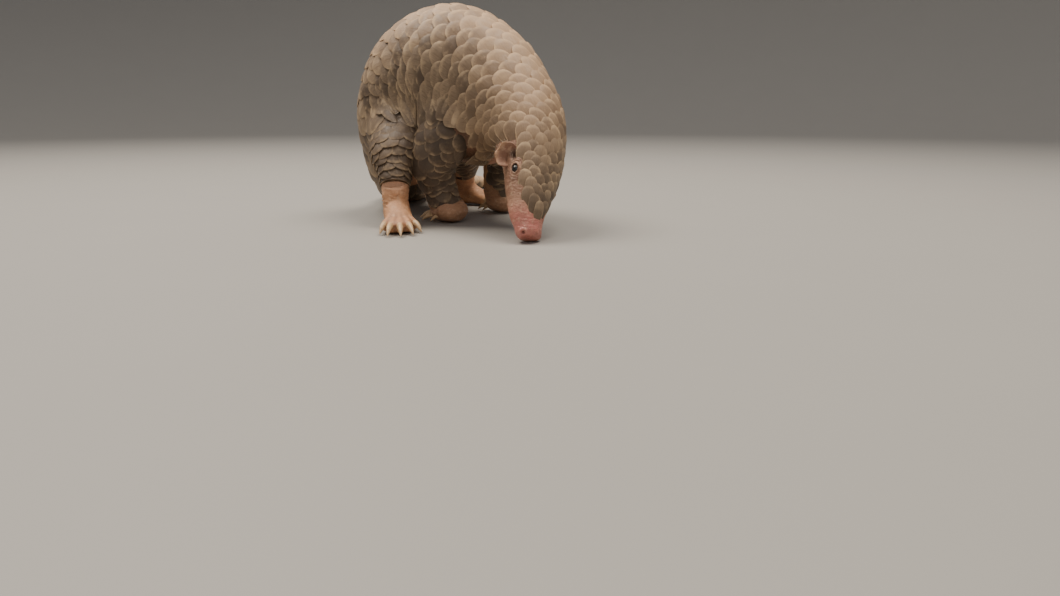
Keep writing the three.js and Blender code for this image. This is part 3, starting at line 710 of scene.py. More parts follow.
def body_forms():
    """The forms of flesh as closed tubes, for the remesh to join into one skin.

    The trunk's rings follow the spine, closed over the nose by a half ellipse turned about the line.
    Each leg, sole, ankle, fist, toe and knuckle is a tube through its own stations.
    """
    shape = Shape()
    round_ = turns(RING_POINTS)
    s = np.concatenate([np.arange(0, 4, 0.06), np.arange(4, STATION["tip"] + 0.01, 0.12)])[:, None]
    turned = (round_ + np.pi) % (2 * np.pi) - np.pi
    rings = spine.point(s, round_, skin_lift(s, turned))
    at, along, *_ = spine.frame(np.array(0.0))
    turn = np.linspace(np.pi / 2, 0, 12, endpoint=False)[:, None, None]
    cap = (rings[0] - at) * 1.03 * np.cos(turn) ** 0.36 + at - along * NOSE_LENGTH * np.sin(turn)
    shape.tube(np.concatenate([cap[1:], rings]))

    def form(stations, lift, count=None, part=2):
        """A tube, with a ring each tenth of a station where no count is given."""
        tube = stations if isinstance(stations, Tube) else Tube(stations)
        s = np.linspace(0, tube.last, count) if count else np.arange(0, tube.last + 0.01, 0.1)
        shape.tube(tube.point(s[:, None], round_[::part], lift(s[:, None]) if callable(lift) else lift))

    for leg in legs.values():
        form(leg, lambda s: -0.3 - 1.0 * smooth(3.9, 3.0, s))
    for side in SIDES:
        forward, _, place = foot_frame(HIND_FEET, side)
        form([(place(at), UP, size) for at, size in HIND_SOLE], -0.3)
        top = legs[f"hindleg_{side}"].frame(np.array(4.0))[0]
        form([(top, forward, (12.3, 12.3, 12.3)), (place((-6, 1.5, 12)), forward, (10.5, 12, 11))], -0.3, 12)
        for toe in HIND_TOES:
            end = toe_end(*toe)
            stations = [(place((*(end * share), height)), UP, size) for share, height, size in TOE_FORM]
            form(stations, -0.1, 20, 3)
        *_, place = foot_frame(FORE_FEET, side)
        form([(place(at), UP, size) for at, size in FORE_FIST], -0.3)
        for root, tip, half, _ in FORE_CLAWS:
            root, tip = np.array(root), np.array(tip)
            knuckle = [
                (place(root + (tip - root) * share + UP * rise), UP, (half * wide, back, belly))
                for share, rise, wide, back, belly in KNUCKLE_FORM
            ]
            form(knuckle, 0, 14, 3)
    return shape


def fused(shape, voxel):
    """One closed surface round all the forms: points in mm and quads, from a voxel remesh."""
    source = mesh_object("forms", *shape.mesh())
    remesh = source.modifiers.new("fuse", "REMESH")
    remesh.mode = "VOXEL"
    remesh.voxel_size = voxel * MM
    result = source.evaluated_get(bpy.context.evaluated_depsgraph_get()).to_mesh()
    points = np.empty(len(result.vertices) * 3, np.float32)
    result.vertices.foreach_get("co", points)
    corners = np.empty(len(result.loops), np.int32)
    result.loops.foreach_get("vertex_index", corners)
    bpy.data.objects.remove(source)
    return points.reshape(-1, 3).astype(float) / MM - STAND, corners.reshape(-1, 4).astype(int)


def relaxed(points, quads, rounds, share, weight):
    """Each round moves every point by a share of the way to the mean of its neighbours."""
    pairs = np.concatenate([quads[:, [0, 1]], quads[:, [1, 2]], quads[:, [2, 3]], quads[:, [3, 0]]])
    one = np.concatenate([pairs[:, 0], pairs[:, 1]])
    two = np.concatenate([pairs[:, 1], pairs[:, 0]])
    number = np.bincount(one, minlength=len(points))
    for _ in range(rounds):
        mean = np.stack([np.bincount(one, points[two, k], len(points)) for k in range(3)], -1)
        mean /= np.maximum(number, 1)[:, None]
        points = points + (mean - points) * np.reshape(share * weight, (-1, 1))
    return points


def divided(points, quads, ragged, chosen):
    """Parts each chosen quad into four, and adds the new edge points to the faces beside them.

    An edge point is the mean of its edge's ends and a middle point the mean of its quad.
    """
    pairs = np.sort(np.stack([quads, np.roll(quads, -1, axis=1)], -1), axis=-1)
    edges, which = np.unique(pairs.reshape(-1, 2), axis=0, return_inverse=True)
    which = which.reshape(-1, 4)
    split = np.zeros(len(edges), bool)
    split[which[chosen]] = True
    middle = np.where(split, len(points) + np.cumsum(split) - 1, -1)
    centre = len(points) + split.sum() + np.arange(chosen.sum())
    new_points = np.vstack([points, points[edges[split]].mean(axis=1), points[quads[chosen]].mean(axis=1)])
    own = quads[chosen]
    on = middle[which[chosen]]
    small = [np.stack([own[:, k], on[:, k], centre, on[:, k - 1]], -1) for k in range(4)]
    beside = ~chosen & split[which].any(axis=1)
    mixed = np.stack([quads[beside], middle[which[beside]]], -1).reshape(-1, 8)
    for corners in range(5, 9):
        rows = mixed[(mixed >= 0).sum(axis=1) == corners]
        if len(rows):
            ragged = ragged + [rows[rows >= 0].reshape(-1, corners)]
    return new_points, np.vstack([quads[~chosen & ~beside], *small]), ragged


def point_normals(points, quads):
    """The way out at each point: the mean of the cross products of its quads' diagonals."""
    a, b, c, d = (points[quads[:, k]] for k in range(4))
    faces = np.cross(c - a, d - b)
    total = [np.bincount(quads.ravel(), np.repeat(faces[:, k], 4), len(points)) for k in range(3)]
    return unit(np.stack(total, -1))


def marks_on_head(mark):
    """The right and the left place of a mark, each with its ways out, back and left."""
    return [spine.spot(np.array(mark["station"]), sign * mark["angle"]) for sign in SIDES.values()]


def from_eye(points, at, out, back, side):
    """Points as seen from an eye: left, back and out of it, and how far in its long oval."""
    x, y, height = (dot(points - at, way) for way in (side, back, out))
    return x, y, height, np.hypot(x * EYE_OVAL[0], y * EYE_OVAL[1])


def from_mouth(points):
    """Distance of each point from the line of the mouth, which runs under the nose."""
    share = np.linspace(-1, 1, 60)
    s = MOUTH["front"] + (MOUTH["corner"] - MOUTH["front"]) * np.abs(share) ** 2.2
    line = spine.point(s, np.pi + share * (np.pi - MOUTH["angle"]))
    return np.sqrt(np.min(np.sum((points[:, None, :] - line[None, ::2, :]) ** 2, axis=-1), axis=1))


def from_nostril(points, sign):
    """Distance from the point of the skin next to a nostril's middle, beside the nose's end."""
    at, along, *_ = spine.frame(np.array(0.0))
    rim = spine.point(0.0, sign * math.radians(70)) - at
    aim = at + rim * 0.78 - along * NOSE_LENGTH * 0.62
    return away(points, points[np.argmin(away(points, aim))])


def from_toe_gaps(points, side):
    """Distance of each point from a hind ankle over the floor, and from the line between two toes."""
    forward, outward, place = foot_frame(HIND_FEET, side)
    offset = points - place((0, 0, 0))
    ahead, aside = dot(offset, forward), dot(offset, outward)
    far = np.hypot(ahead, aside)
    turn = np.degrees(np.arctan2(aside, ahead))
    pairs = zip(HIND_TOES, HIND_TOES[1:])
    return far, [np.radians(turn - (one + two) / 2) * far for (one, _), (two, _) in pairs]


def face_relief(points):
    """Height in mm that the face's forms add to the skin at each point.

    Lids are a raised ring round each eye with two folds beyond it, over a hollow that holds the
    eyeball. The mouth is a groove between two lips. A nostril and the hole of an ear are pits.
    """
    relief = np.zeros(len(points))
    for sign, eye in zip(SIDES.values(), marks_on_head(EYE)):
        x, y, height, r = from_eye(points, *eye)
        ripple = 0.25 * np.sin(3 * np.arctan2(y, x) + 1)
        lid = 1.35 * bell(r, LID_RING, 1.0) + 0.6 * bell(r + ripple, LID_FOLD, 0.62)
        lid += 0.45 * bell(r - ripple, CHEEK_FOLD, 0.6)
        brow = smooth(-1.0, 3.0, -sign * x) * smooth(-4.0, 2.0, y)
        lid += 0.7 * brow * bell(r, LID_RING, 1.2)
        hollow = -EYE_HOLLOW * smooth(3.1, 2.2, r)
        relief += np.where(np.abs(height) < 8, lid + hollow, 0)
    gap = from_mouth(points)
    relief += 0.45 * bell(gap, 1.7, 0.9) - MOUTH_GROOVE * bell(gap, 0, 0.65)
    for sign, (at, out, back, side) in zip(SIDES.values(), marks_on_head(EAR_HOLE)):
        far = from_nostril(points, sign)
        relief += 0.45 * bell(far, 2.4, 0.8) - NOSTRIL_PIT * smooth(1.6, 0.5, far)
        offset = points - at
        far = np.hypot(dot(offset, side) / 0.75, dot(offset, back) / 1.25)
        relief += np.where(np.abs(dot(offset, out)) < 8, -EAR_PIT * bell(far, 0, 2.6), 0)
    return relief


def foot_relief(points, normals):
    """Height in mm of the folds across the ankles, toes and fists at each point.

    Folds are waves: of the height round an ankle, and of the way out from the ankle over the toes
    and the fist, with a slow wave in their phase so that they wander. Grooves part the toes.
    """
    relief = np.zeros(len(points))
    for side in SIDES:
        for feet, low, high, reach in ((HIND_FEET, 13, 36, 30), (FORE_FEET, 16, 36, 24)):
            *_, place = foot_frame(feet, side)
            x, y, height = (points - place((0, 0, 0))).T
            far = np.hypot(x, y)
            round_ = np.arctan2(y, x)
            near = smooth(reach + 14, reach + 4, far)
            drift = 1.3 * np.sin(2 * round_ + 0.2 * height) + 1.6 * np.sin(3 * round_ + 0.55 * height)
            ring = np.sin(height * 2 * np.pi / ANKLE_WAVE + drift)
            strength = 0.3 + 0.22 * np.sin(1.7 * round_ + 0.45 * height)
            ring = strength * ring * near * smooth(low - 3, low + 3, height)
            relief += ring * smooth(high + 8, high, height)
            wave = np.sin(far * 2 * np.pi / TOE_WAVE + 1.1 * np.sin(5 * round_))
            on_top = smooth(0.1, 0.6, normals[:, 2]) * smooth(low + 2, low - 3, height)
            relief += 0.34 * wave * on_top * smooth(6, 14, far) * smooth(46, 38, far)
        far, gaps = from_toe_gaps(points, side)
        for gap in gaps:
            groove = TOE_GROOVE * bell(gap, 0, 1.2) * smooth(16, 24, far)
            relief -= groove * smooth(0.0, 0.5, normals[:, 2])
    return relief


def tints(points):
    """The skin's colours, with painted shade, and its moisture at each point, by place on the body.

    The nose is pink, the face and feet tan, the belly and throat pinker, the lid edges near black, and
    dried mud lies on the outer side of the forelegs and under the feet. Painted shade darkens the skin
    under the edges of the scales, at the top of each foreleg, in the eye sockets, ear holes, nostrils
    and mouth, and between the toes.
    """
    colours = bpy.context.scene.pangolin_colours
    skin, nose, mud = (np.array(c) for c in (colours.skin, colours.nose, colours.mud))
    s, angle, _ = spine.nearest(points)
    aside = np.abs(angle)
    height = points[:, 2]
    tint = np.broadcast_to(skin, points.shape).copy()

    def lay(shade, amount):
        tint[:] = tint + (np.array(shade) - tint) * np.reshape(amount, (-1, 1))

    belly = smooth(2.2, 3.4, aside) * smooth(3.5, 5.0, s) * smooth(11.5, 10.5, s)
    lay(linear(214, 158, 130), 0.8 * belly)
    throat = smooth(2.2, 3.2, s) * smooth(6.5, 5.0, s)
    lay(linear(206, 146, 122), 0.6 * smooth(1.9, 2.6, aside) * throat)
    # Painted shade on the skin next to and under the edges of the scales
    under_scales_shade = smooth(-0.16, 0.02, cover_half_angle(s) - aside) * smooth(4.0, 5.0, s)
    lay(linear(112, 84, 64), 0.8 * under_scales_shade)
    lay(nose, smooth(1.5, 0.5, s) * 0.85)
    lay(linear(206, 128, 120), 0.5 * smooth(0.7, 0.1, s))
    lay(linear(124, 88, 66), 0.85 * smooth(0.9, 1.7, s) * smooth(4.2, 3.4, s))
    for sign, eye, (hole, *_) in zip(SIDES.values(), marks_on_head(EYE), marks_on_head(EAR_HOLE)):
        _, _, lift, r = from_eye(points, *eye)
        far = np.hypot(r, lift)
        lay(linear(182, 138, 108), 0.5 * bell(far, 5.6, 1.4))
        lay(linear(92, 62, 48), 0.6 * bell(far, 8.2, 1.1))
        # near-black lid edges, with painted shade in the socket round the eyeball
        lay(linear(40, 27, 21), smooth(4.6, 3.2, far))
        # painted shade: the hole of the ear near black
        lay(linear(42, 29, 24), 0.95 * smooth(5.4, 2.8, away(points, hole)))
        # painted shade in the pit of the nostril
        lay(linear(104, 58, 52), 0.8 * smooth(2.1, 0.7, from_nostril(points, sign)))
    # Painted shade in the groove of the mouth
    lay(linear(96, 56, 50), 0.85 * smooth(1.3, 0.4, from_mouth(points)))
    lines = np.zeros(len(points))
    for side in SIDES:
        far, gaps = from_toe_gaps(points, side)
        on_foot = smooth(14, 26, far) * smooth(60, 50, far) * smooth(20, 14, height)
        lines = np.max([lines, *(on_foot * bell(gap, 0, 1.5) for gap in gaps)], axis=0)
    lay(linear(220, 162, 116), 0.75 * (smooth(42, 26, height) * smooth(-100, -60, points[:, 1])))
    # Painted shade in the lines between the toes
    lay(linear(112, 76, 56), 0.6 * lines)
    for side in SIDES:
        t, _, lift = legs[f"foreleg_{side}"].nearest(points)
        on_leg = smooth(8, 3, lift)
        # painted shade: dark skin at the top of the foreleg, where it goes in under the trunk
        lay(linear(112, 84, 64), 0.8 * on_leg * smooth(1.6, 1.1, t))
        lay(mud, 0.95 * on_leg * smooth(1.2, 1.9, t) * smooth(4.2, 3.6, t))
        *_, place = foot_frame(FORE_FEET, side)
        lay(linear(176, 136, 108), 0.75 * smooth(30, 20, away(points, place((0, 0, 8)))))
    lay(mud * 0.8, 0.5 * smooth(4.0, 0.5, height))
    return tint, smooth(0.9, 0.0, s)


class PANGOLIN_OT_skin(Operator):
    """One skin over head, trunk, legs and feet, without a seam, with lids, mouth, nostrils and ears"""

    bl_idname = "pangolin.skin"
    bl_label = "Skin"

    def execute(self, context):
        """The fused forms are eased, parted where they need detail, set back on the exact surface of
        the face, and moved out by their relief."""

        def loose(points, s):
            return 1 - 0.7 * (smooth(26, 20, points[:, 2]) * smooth(11, 10.5, s))

        points, quads = fused(body_forms(), context.scene.pangolin_sizes.skin_voxel)
        s, *_ = spine.nearest(points)
        points = relaxed(points, quads, rounds=8, share=0.5, weight=loose(points, s))
        s, _, lift = spine.nearest(points)
        on_head = (s < HEAD_END) & (np.abs(lift) < 6)
        on_foot = (points[:, 2] < FOOT_TOP) & (points[:, 1] < FOOT_REAR) & ~on_head & (s < TRUNK_END)
        points, quads, ragged = divided(points, quads, [], (on_head | on_foot)[quads].all(axis=1))
        centres = [at for mark in (EYE, EAR_HOLE) for at, *_ in marks_on_head(mark)]
        near = np.min([away(points, centre) for centre in centres], axis=0) < DETAIL_RADIUS
        s, angle, _ = spine.nearest(points)
        near |= (s < 0.35) & (np.abs(angle) < math.radians(160))
        points, quads, ragged = divided(points, quads, ragged, near[quads].all(axis=1))
        s, angle, lift = spine.nearest(points)
        face = (s > 0.02) & (s < 4.6) & (np.abs(lift) < 3)
        exact = spine.point(s, angle, skin_lift(s, angle))
        points = points + (exact - points) * np.where(face, smooth(4.6, 4.0, s), 0)[:, None]
        cap = (s <= 0.02) & (np.abs(lift) < 14) & (points[:, 1] < -100)
        points = relaxed(points, quads, rounds=6, share=0.5, weight=np.where(cap, 1.0, 0.0))
        weight = np.where(s < 4.0, 0.0, loose(points, s))
        points = relaxed(points, quads, rounds=4, share=0.4, weight=weight)
        normals = point_normals(points, quads)
        head = s < 4.2
        low = (points[:, 2] < 46) & ~head & (s < 11.2)
        relief = np.zeros(len(points))
        relief[head] = face_relief(points[head])
        relief[low] = foot_relief(points[low], normals[low])
        points = points + normals * relief[:, None]
        points[:, 2] = np.maximum(points[:, 2], 0.05)
        tint, moist = tints(points)
        nodes = ["head", "neck", "torso_front", "torso_rear", "tail_root", "tail_base", "tail_middle"]
        nodes += ["tail_tip", *LEGS]
        nodes += [f"{foot}_{side}" for foot in ("hindfoot", "forefoot") for side in SIDES]
        material = skin_material()
        values = {"moist": moist, "tint": tint}
        make_piece("skin", points, [quads, *ragged], material, "skin", nodes, point_values=values)
        for side_name, sign, mark in zip(SIDES, SIDES.values(), marks_on_head(EAR_HOLE)):
            self.ear(side_name, sign, material, *mark)
        return {"FINISHED"}

    def ear(self, side_name, sign, material, at, out, back, side):
        """The cup of an ear: a thick flap carried along an arc behind the hole.

        The flap's section is a flat ellipse whose height and thickness fade to nothing at both ends
        of the arc, and which leans out and back over the hole.
        """
        aside = side * sign
        t = np.linspace(-1, 1, 44)[:, None, None]
        turn = turns(20)[:, None]
        arc = t * EAR_SPREAD
        radial = back * np.cos(arc + EAR_TURN) + aside * np.sin(arc + EAR_TURN)
        body = (1 - np.abs(t) ** 2.6) ** 0.6
        lean = unit(out + radial * 0.75)
        thin = np.cross(lean, unit(np.cross(out, radial)))
        line = at + aside * 2.6 - back * 1.2 + radial * EAR_RADIUS - out * 2.0
        curl = 0.35 * np.cos(turn) ** 2
        high = EAR_HEIGHT * body * (1 + 0.07 * np.sin(7 * arc))
        thick = 1.5 * body + 0.15
        ring = line + lean * high * np.cos(turn) + thin * thick * np.sin(turn) - radial * curl * high * 0.3
        points, faces = Shape().tube(ring).mesh()
        rim = smooth(2.0, 6.0, dot(points - at, out))[:, None]
        tint = np.array(linear(140, 100, 78)) * (1 - rim) + np.array(linear(200, 156, 116)) * rim
        values = {"moist": np.zeros(len(points)), "tint": tint}
        name = f"ear_{side_name}"
        make_piece(f"{name}_skin", points, faces, material, "skin", [name], point_values=values)


class PANGOLIN_OT_eyes(Operator):
    """The two eyes, as deep in the head as the lids allow"""

    bl_idname = "pangolin.eyes"
    bl_label = "Eyes"

    def execute(self, context):
        """A sphere by polar angle from the way out and turn about it, a little fuller in front."""
        material = eye_material()
        polar = np.linspace(0.02, np.pi - 0.02, 24)[:, None, None]
        turn = turns(36)[:, None]
        radius = EYE_RADIUS * (1 + 0.05 * bell(polar, 0, 0.6))
        maps = {"Eye": tube_map(polar / np.pi, turn)}
        for side_name, (at, out, back, side) in zip(SIDES, marks_on_head(EYE)):
            spread = side * np.cos(turn) + back * np.sin(turn)
            rings = at - out * EYE_DEPTH + radius * (out * np.cos(polar) + spread * np.sin(polar))
            nodes = [f"eye_{side_name}"]
            eye = Shape().tube(rings).mesh()
            make_piece(f"eyeball_{side_name}", *eye, material, "eye", nodes, corner_maps=maps)
        return {"FINISHED"}


# Scales

PLATE_U = np.array([0, 0.24, 0.46, 0.64, 0.79, 0.90, 0.97, 1.0])
PLATE_V = np.sin(np.linspace(-np.pi / 2, np.pi / 2, 17))
PLATE_SHARP = math.radians(48)
ROW = ("row", "angle", "reach", "width", "low", "high", "depth", "tone", "dust")
FLANK = math.radians(58)  # where round the body the pitch of the rows is measured
SHINGLE = 4.2  # rows that a scale reaches over
LEG_SHINGLE = 2.9
ROWS_PAST = 6  # stations past the last row, for its scales to reach to
# Relief of a scale, as shares of its width or of its thickness
CROWN = 0.035
KEEL = 0.012
NICK = 0.012
EDGE_DROP = 0.38
END_DROP = 0.22
BAKE_MARGIN = 0.08  # of a scale's cell in the map, on each side
# Where the trunk's scales would stand too high, too steep or too sudden over a leg, in mm
TOO_HIGH = 14
TOO_STEEP = 8
TOO_SUDDEN = 8


def plate_template():
    """Faces of one scale: its grid on top, a wall round the rim, and strips across the underside."""
    rows, columns = len(PLATE_U), len(PLATE_V)
    top = grid_faces(rows, columns)
    grid = np.arange(rows * columns).reshape(rows, columns)
    rim = np.concatenate([grid[0, :], grid[1:, -1], grid[-1, -2::-1], grid[-2:0:-1, 0]])
    low = rows * columns + np.arange(len(rim))
    after = np.roll(np.arange(len(rim)), -1)
    wall = np.stack([rim, low, low[after], rim[after]], -1)
    under = {place: low[i] for i, place in enumerate(rim)}
    left = np.array([under[k] for k in grid[:, 0]])
    right = np.array([under[k] for k in grid[:, -1]])
    strips = np.stack([left[1:-2], left[2:-1], right[2:-1], right[1:-2]], -1)
    root = np.concatenate([[under[k] for k in grid[0, ::-1]], [left[1], right[1]]])[None]
    tip = np.concatenate([[under[k] for k in grid[-1, :]], [right[-2], left[-2]]])[None]
    return rim, [top, wall, strips, root, tip]


def flat(s, angle):
    return 0.0


def scales(name, tube, stations, rows, rng, material, drape=flat, painted_shade=0.0):
    """Scales on a tube as one piece, raised by the height that drape gives at a station and angle.

    rows holds arrays: the row's own number, angle, how many rows a scale reaches over, its width in
    mm, height of its root and of its tip, thickness, tone and dust. Along a scale u runs from 0 at
    its root to 1 at its free edge, and across it v runs from -1 to 1. The place along is u, less
    about 0.4 (1 - sqrt(1 - |v|^2.5)) of it, so the free edge is a round arch, with small nicks of
    sin(9 v) sin(23 v), and the station is that of the row so many rows on. The half width swells as
    0.84 + 0.16 sin(pi u / 2). The height rises as 0.85 u + 0.15 u^2 from root to tip, with a crown
    of 1 - v^2 across, and drops at the edge, so that it looks rounded.
    """
    number, angle, reach, width, low, high, depth, tone, dust = (rows[k][:, None, None] for k in ROW)
    u = PLATE_U[None, :, None]
    v = PLATE_V[None, None, :]
    skew = rng.normal(0, 0.035, number.shape)
    arch = rng.uniform(0.34, 0.44, number.shape)
    nick = NICK * np.sin(9 * v + 20 * tone) * np.sin(23 * v + 50 * tone) * smooth(0.6, 1.0, u)
    round_end = 1 - arch * (1 - np.sqrt(np.maximum(1 - np.abs(v) ** 2.5, 0)))
    ahead = u * round_end * (1 + skew * v) + nick
    half = 0.5 * width * (0.84 + 0.16 * np.sin(np.pi * u / 2)) * (1 - 0.05 * smooth(0.75, 1.0, u))
    edge = np.maximum(smooth(0.93, 1.0, u), smooth(0.82, 1.0, np.abs(v)))
    tilt = rng.normal(0, 0.16, number.shape)
    crown = CROWN * width * (1 - v**2) * smooth(0.0, 0.5, u)
    keel = KEEL * width * bell(v, 0, 0.25) * smooth(0.2, 0.6, u) * smooth(1.05, 0.8, u)
    lift = low + (high - low) * (0.15 * u**2 + 0.85 * u) + crown + keel + tilt * v * depth
    lift = lift - edge * EDGE_DROP * depth + depth * 0.1 * np.sin(5 * v + 9 * tone) * u
    lift = lift - END_DROP * depth * smooth(0.8, 1.0, u)
    ahead = np.broadcast_to(ahead, lift.shape)
    count = len(rows["row"])

    def on_tube(share, spread, height):
        s = np.interp(number + share * reach, np.arange(len(stations)), stations)
        _, round_ = tube.pace(s, np.broadcast_to(angle, s.shape))
        turn = angle + np.clip(spread / round_, -1.2, 1.2)
        return tube.point(s, turn, height + drape(s, turn)).reshape(count, -1, 3)

    rim, faces = plate_template()
    top = on_tube(ahead, v * half, lift)
    under = on_tube(ahead * 0.985, v * half * 0.96, lift - depth)[:, rim]
    points = np.concatenate([top, under], axis=1)
    size = points.shape[1]
    offset = (np.arange(count) * size)[:, None, None]
    faces = [(part[None] + offset).reshape(-1, part.shape[1]) for part in faces]
    plate = [np.broadcast_to(part, lift.shape).reshape(count, -1) for part in (u, (v + 1) / 2)]
    plate = np.stack(plate, -1)
    side = math.ceil(math.sqrt(count))
    cell = np.stack([np.arange(count) % side, np.arange(count) // side], -1)[:, None, :]
    inner = BAKE_MARGIN + (1 - 2 * BAKE_MARGIN) * plate
    outer = 0.5 + (inner[:, rim] - 0.5) * 1.1
    bake = (cell + np.concatenate([inner, outer], axis=1)) / side
    plate = np.concatenate([plate, plate[:, rim]], axis=1)
    # the last value is painted shade, which darkens a piece's scales
    values = {"tone": tone, "dust": dust, "painted_shade": painted_shade}
    values = {key: np.broadcast_to(value, (count, size, 1)).ravel() for key, value in values.items()}
    make_piece(
        name,
        points.reshape(-1, 3),
        faces,
        material,
        "scales",
        sharp=PLATE_SHARP,
        corner_maps={"Plate": plate.reshape(-1, 2), "OFBake": bake.reshape(-1, 2)},
        point_values=values,
    )


def row_stations(tube, start, stop, pitch):
    """Stations of rows a pitch apart on the flanks, with more past the last one."""
    found = [start]
    while found[-1] < stop:
        pace = np.mean(tube.pace(np.full(2, found[-1]), np.array([-FLANK, FLANK]))[0])
        found.append(found[-1] + pitch(found[-1]) / pace)
    found += [found[-1] + (found[-1] - found[-2]) * k for k in range(1, ROWS_PAST + 1)]
    return np.array(found)


def lay_rows(tube, stations, width, half_angle, low, high, depth, rng, shingle=SHINGLE):
    """Where scales stand on a tube. Every second row is set half a scale aside, and each scale's
    distance from the middle of the back, on the surface, is a multiple of the width, out to the half
    angle. All these are functions of the station."""
    found = []
    turn = np.linspace(0, np.pi, 181)
    for number, s in enumerate(stations[:-ROWS_PAST]):
        ring = tube.point(np.full(len(turn), s), turn)
        walked = np.concatenate([[0], np.cumsum(away(ring[1:], ring[:-1]))])
        limit = np.interp(half_angle(s), turn, walked)
        steps = (np.arange(-40, 41) + 0.5 * (number % 2)) * width(s)
        steps = steps[np.abs(steps) < min(limit, walked[-1] - 0.3 * width(s))]
        count = len(steps)
        aside = steps + rng.normal(0, 0.03, count) * width(s)
        found.append(
            {
                "row": number + rng.normal(0, 0.06, count),
                "angle": np.sign(aside) * np.interp(np.abs(aside), walked, turn),
                "reach": shingle * rng.uniform(0.95, 1.06, count),
                "width": width(s) * rng.uniform(1.0, 1.1, count),
                "low": np.full(count, low(s)),
                "high": high(s) * rng.uniform(0.9, 1.12, count),
                "depth": depth(s) * rng.uniform(0.85, 1.1, count),
                "tone": rng.uniform(0, 1, count),
                "dust": np.zeros(count),
            }
        )
    return {key: np.concatenate([row[key] for row in found]) for key in ROW}


def station_of(stations, rows, share):
    """Station of each scale at a share of its length."""
    return np.interp(rows["row"] + share * rows["reach"], np.arange(len(stations)), stations)


def keep(rows, wanted):
    return {key: values[wanted] for key, values in rows.items()}


def dusted(tube, stations, rows):
    """Lays dust on the scales that face up: the height of the way out, beyond 0.1, and a draw."""
    out = tube.spot(station_of(stations, rows, 0.7), rows["angle"])[1]
    rows["dust"] = np.clip(smooth(0.1, 0.95, out[..., 2]) * (0.7 + 0.6 * rows["tone"]), 0, 1)
    return rows


class Drape:
    """Height in mm by which the upper legs stand out of the trunk, by station and angle.

    From 24 mm outside the trunk each place of a grid moves in by 0.8 of its distance to the nearest
    upper leg until it meets it. The height h is then softened to (h + sqrt(h^2 + 9)) / 2 - 0.5, and
    each of ten rounds takes every place to the mean of itself and its neighbours. Where the height
    is over 3 mm, up to 0.8 mm more keeps the trunk's scales over those of the leg.
    """

    FIRST, LAST = 3.6, 12.4
    ROWS, COLUMNS = 89, 121
    START = 24.0
    SOFTENING = 10

    def __init__(self):
        s = np.linspace(self.FIRST, self.LAST, self.ROWS)[:, None]
        angle = np.linspace(-np.pi, np.pi, self.COLUMNS)[None, :]
        s, angle = np.broadcast_arrays(s, angle)
        upper = [Tube(stations[:3]) for stations in LEGS.values()]
        height = np.full(s.shape, self.START)
        for _ in range(12):
            points = spine.point(s, angle, height).reshape(-1, 3)
            gap = np.min([limb.nearest(points)[2] for limb in upper], axis=0).reshape(s.shape)
            height = np.where(gap > 0.2, np.maximum(height - np.maximum(0.8 * gap, 0.4), -4), height)
        soft = (height + np.sqrt(height**2 + 9)) / 2 - 0.5
        for _ in range(self.SOFTENING):
            soft[1:-1] = soft[1:-1] / 2 + (soft[2:] + soft[:-2]) / 4
            soft = soft / 2 + (np.roll(soft, 1, axis=1) + np.roll(soft, -1, axis=1)) / 4
        self.grid = soft

    def __call__(self, s, angle):
        s, angle = np.broadcast_arrays(s, angle)
        i = np.clip((s - self.FIRST) / (self.LAST - self.FIRST), 0, 1) * (self.ROWS - 1)
        j = ((angle + np.pi) / (2 * np.pi) % 1.0) * (self.COLUMNS - 1)
        row, column = np.minimum(i.astype(int), self.ROWS - 2), np.minimum(j.astype(int), self.COLUMNS - 2)
        v, w = i - row, j - column
        near, far = (self.grid[k, column] * (1 - w) + self.grid[k, column + 1] * w for k in (row, row + 1))
        height = near * (1 - v) + far * v
        height = height + 0.8 * smooth(3.0, 7.0, height)
        return height * smooth(self.FIRST, self.FIRST + 0.4, s) * smooth(self.LAST, self.LAST - 0.4, s)


def inside(tube, points, margin):
    """Whether points lie deeper in a tube than a margin in mm."""
    s, _, lift = tube.nearest(points)
    return (lift < -margin) & (s > 0.0) & (s < tube.last)


def grown(head_size, head_shares, body_size, body_shares):
    """A size by station: shares of the head's size, but at most the body's, then of the body's."""
    values = [min(head_size * share, body_size) for share in head_shares]
    values += [body_size * share for share in body_shares]
    return marked(dict(zip((0.5, 2, 3, 4, 5, 6, 7.2, 11, 13, 19), values)))


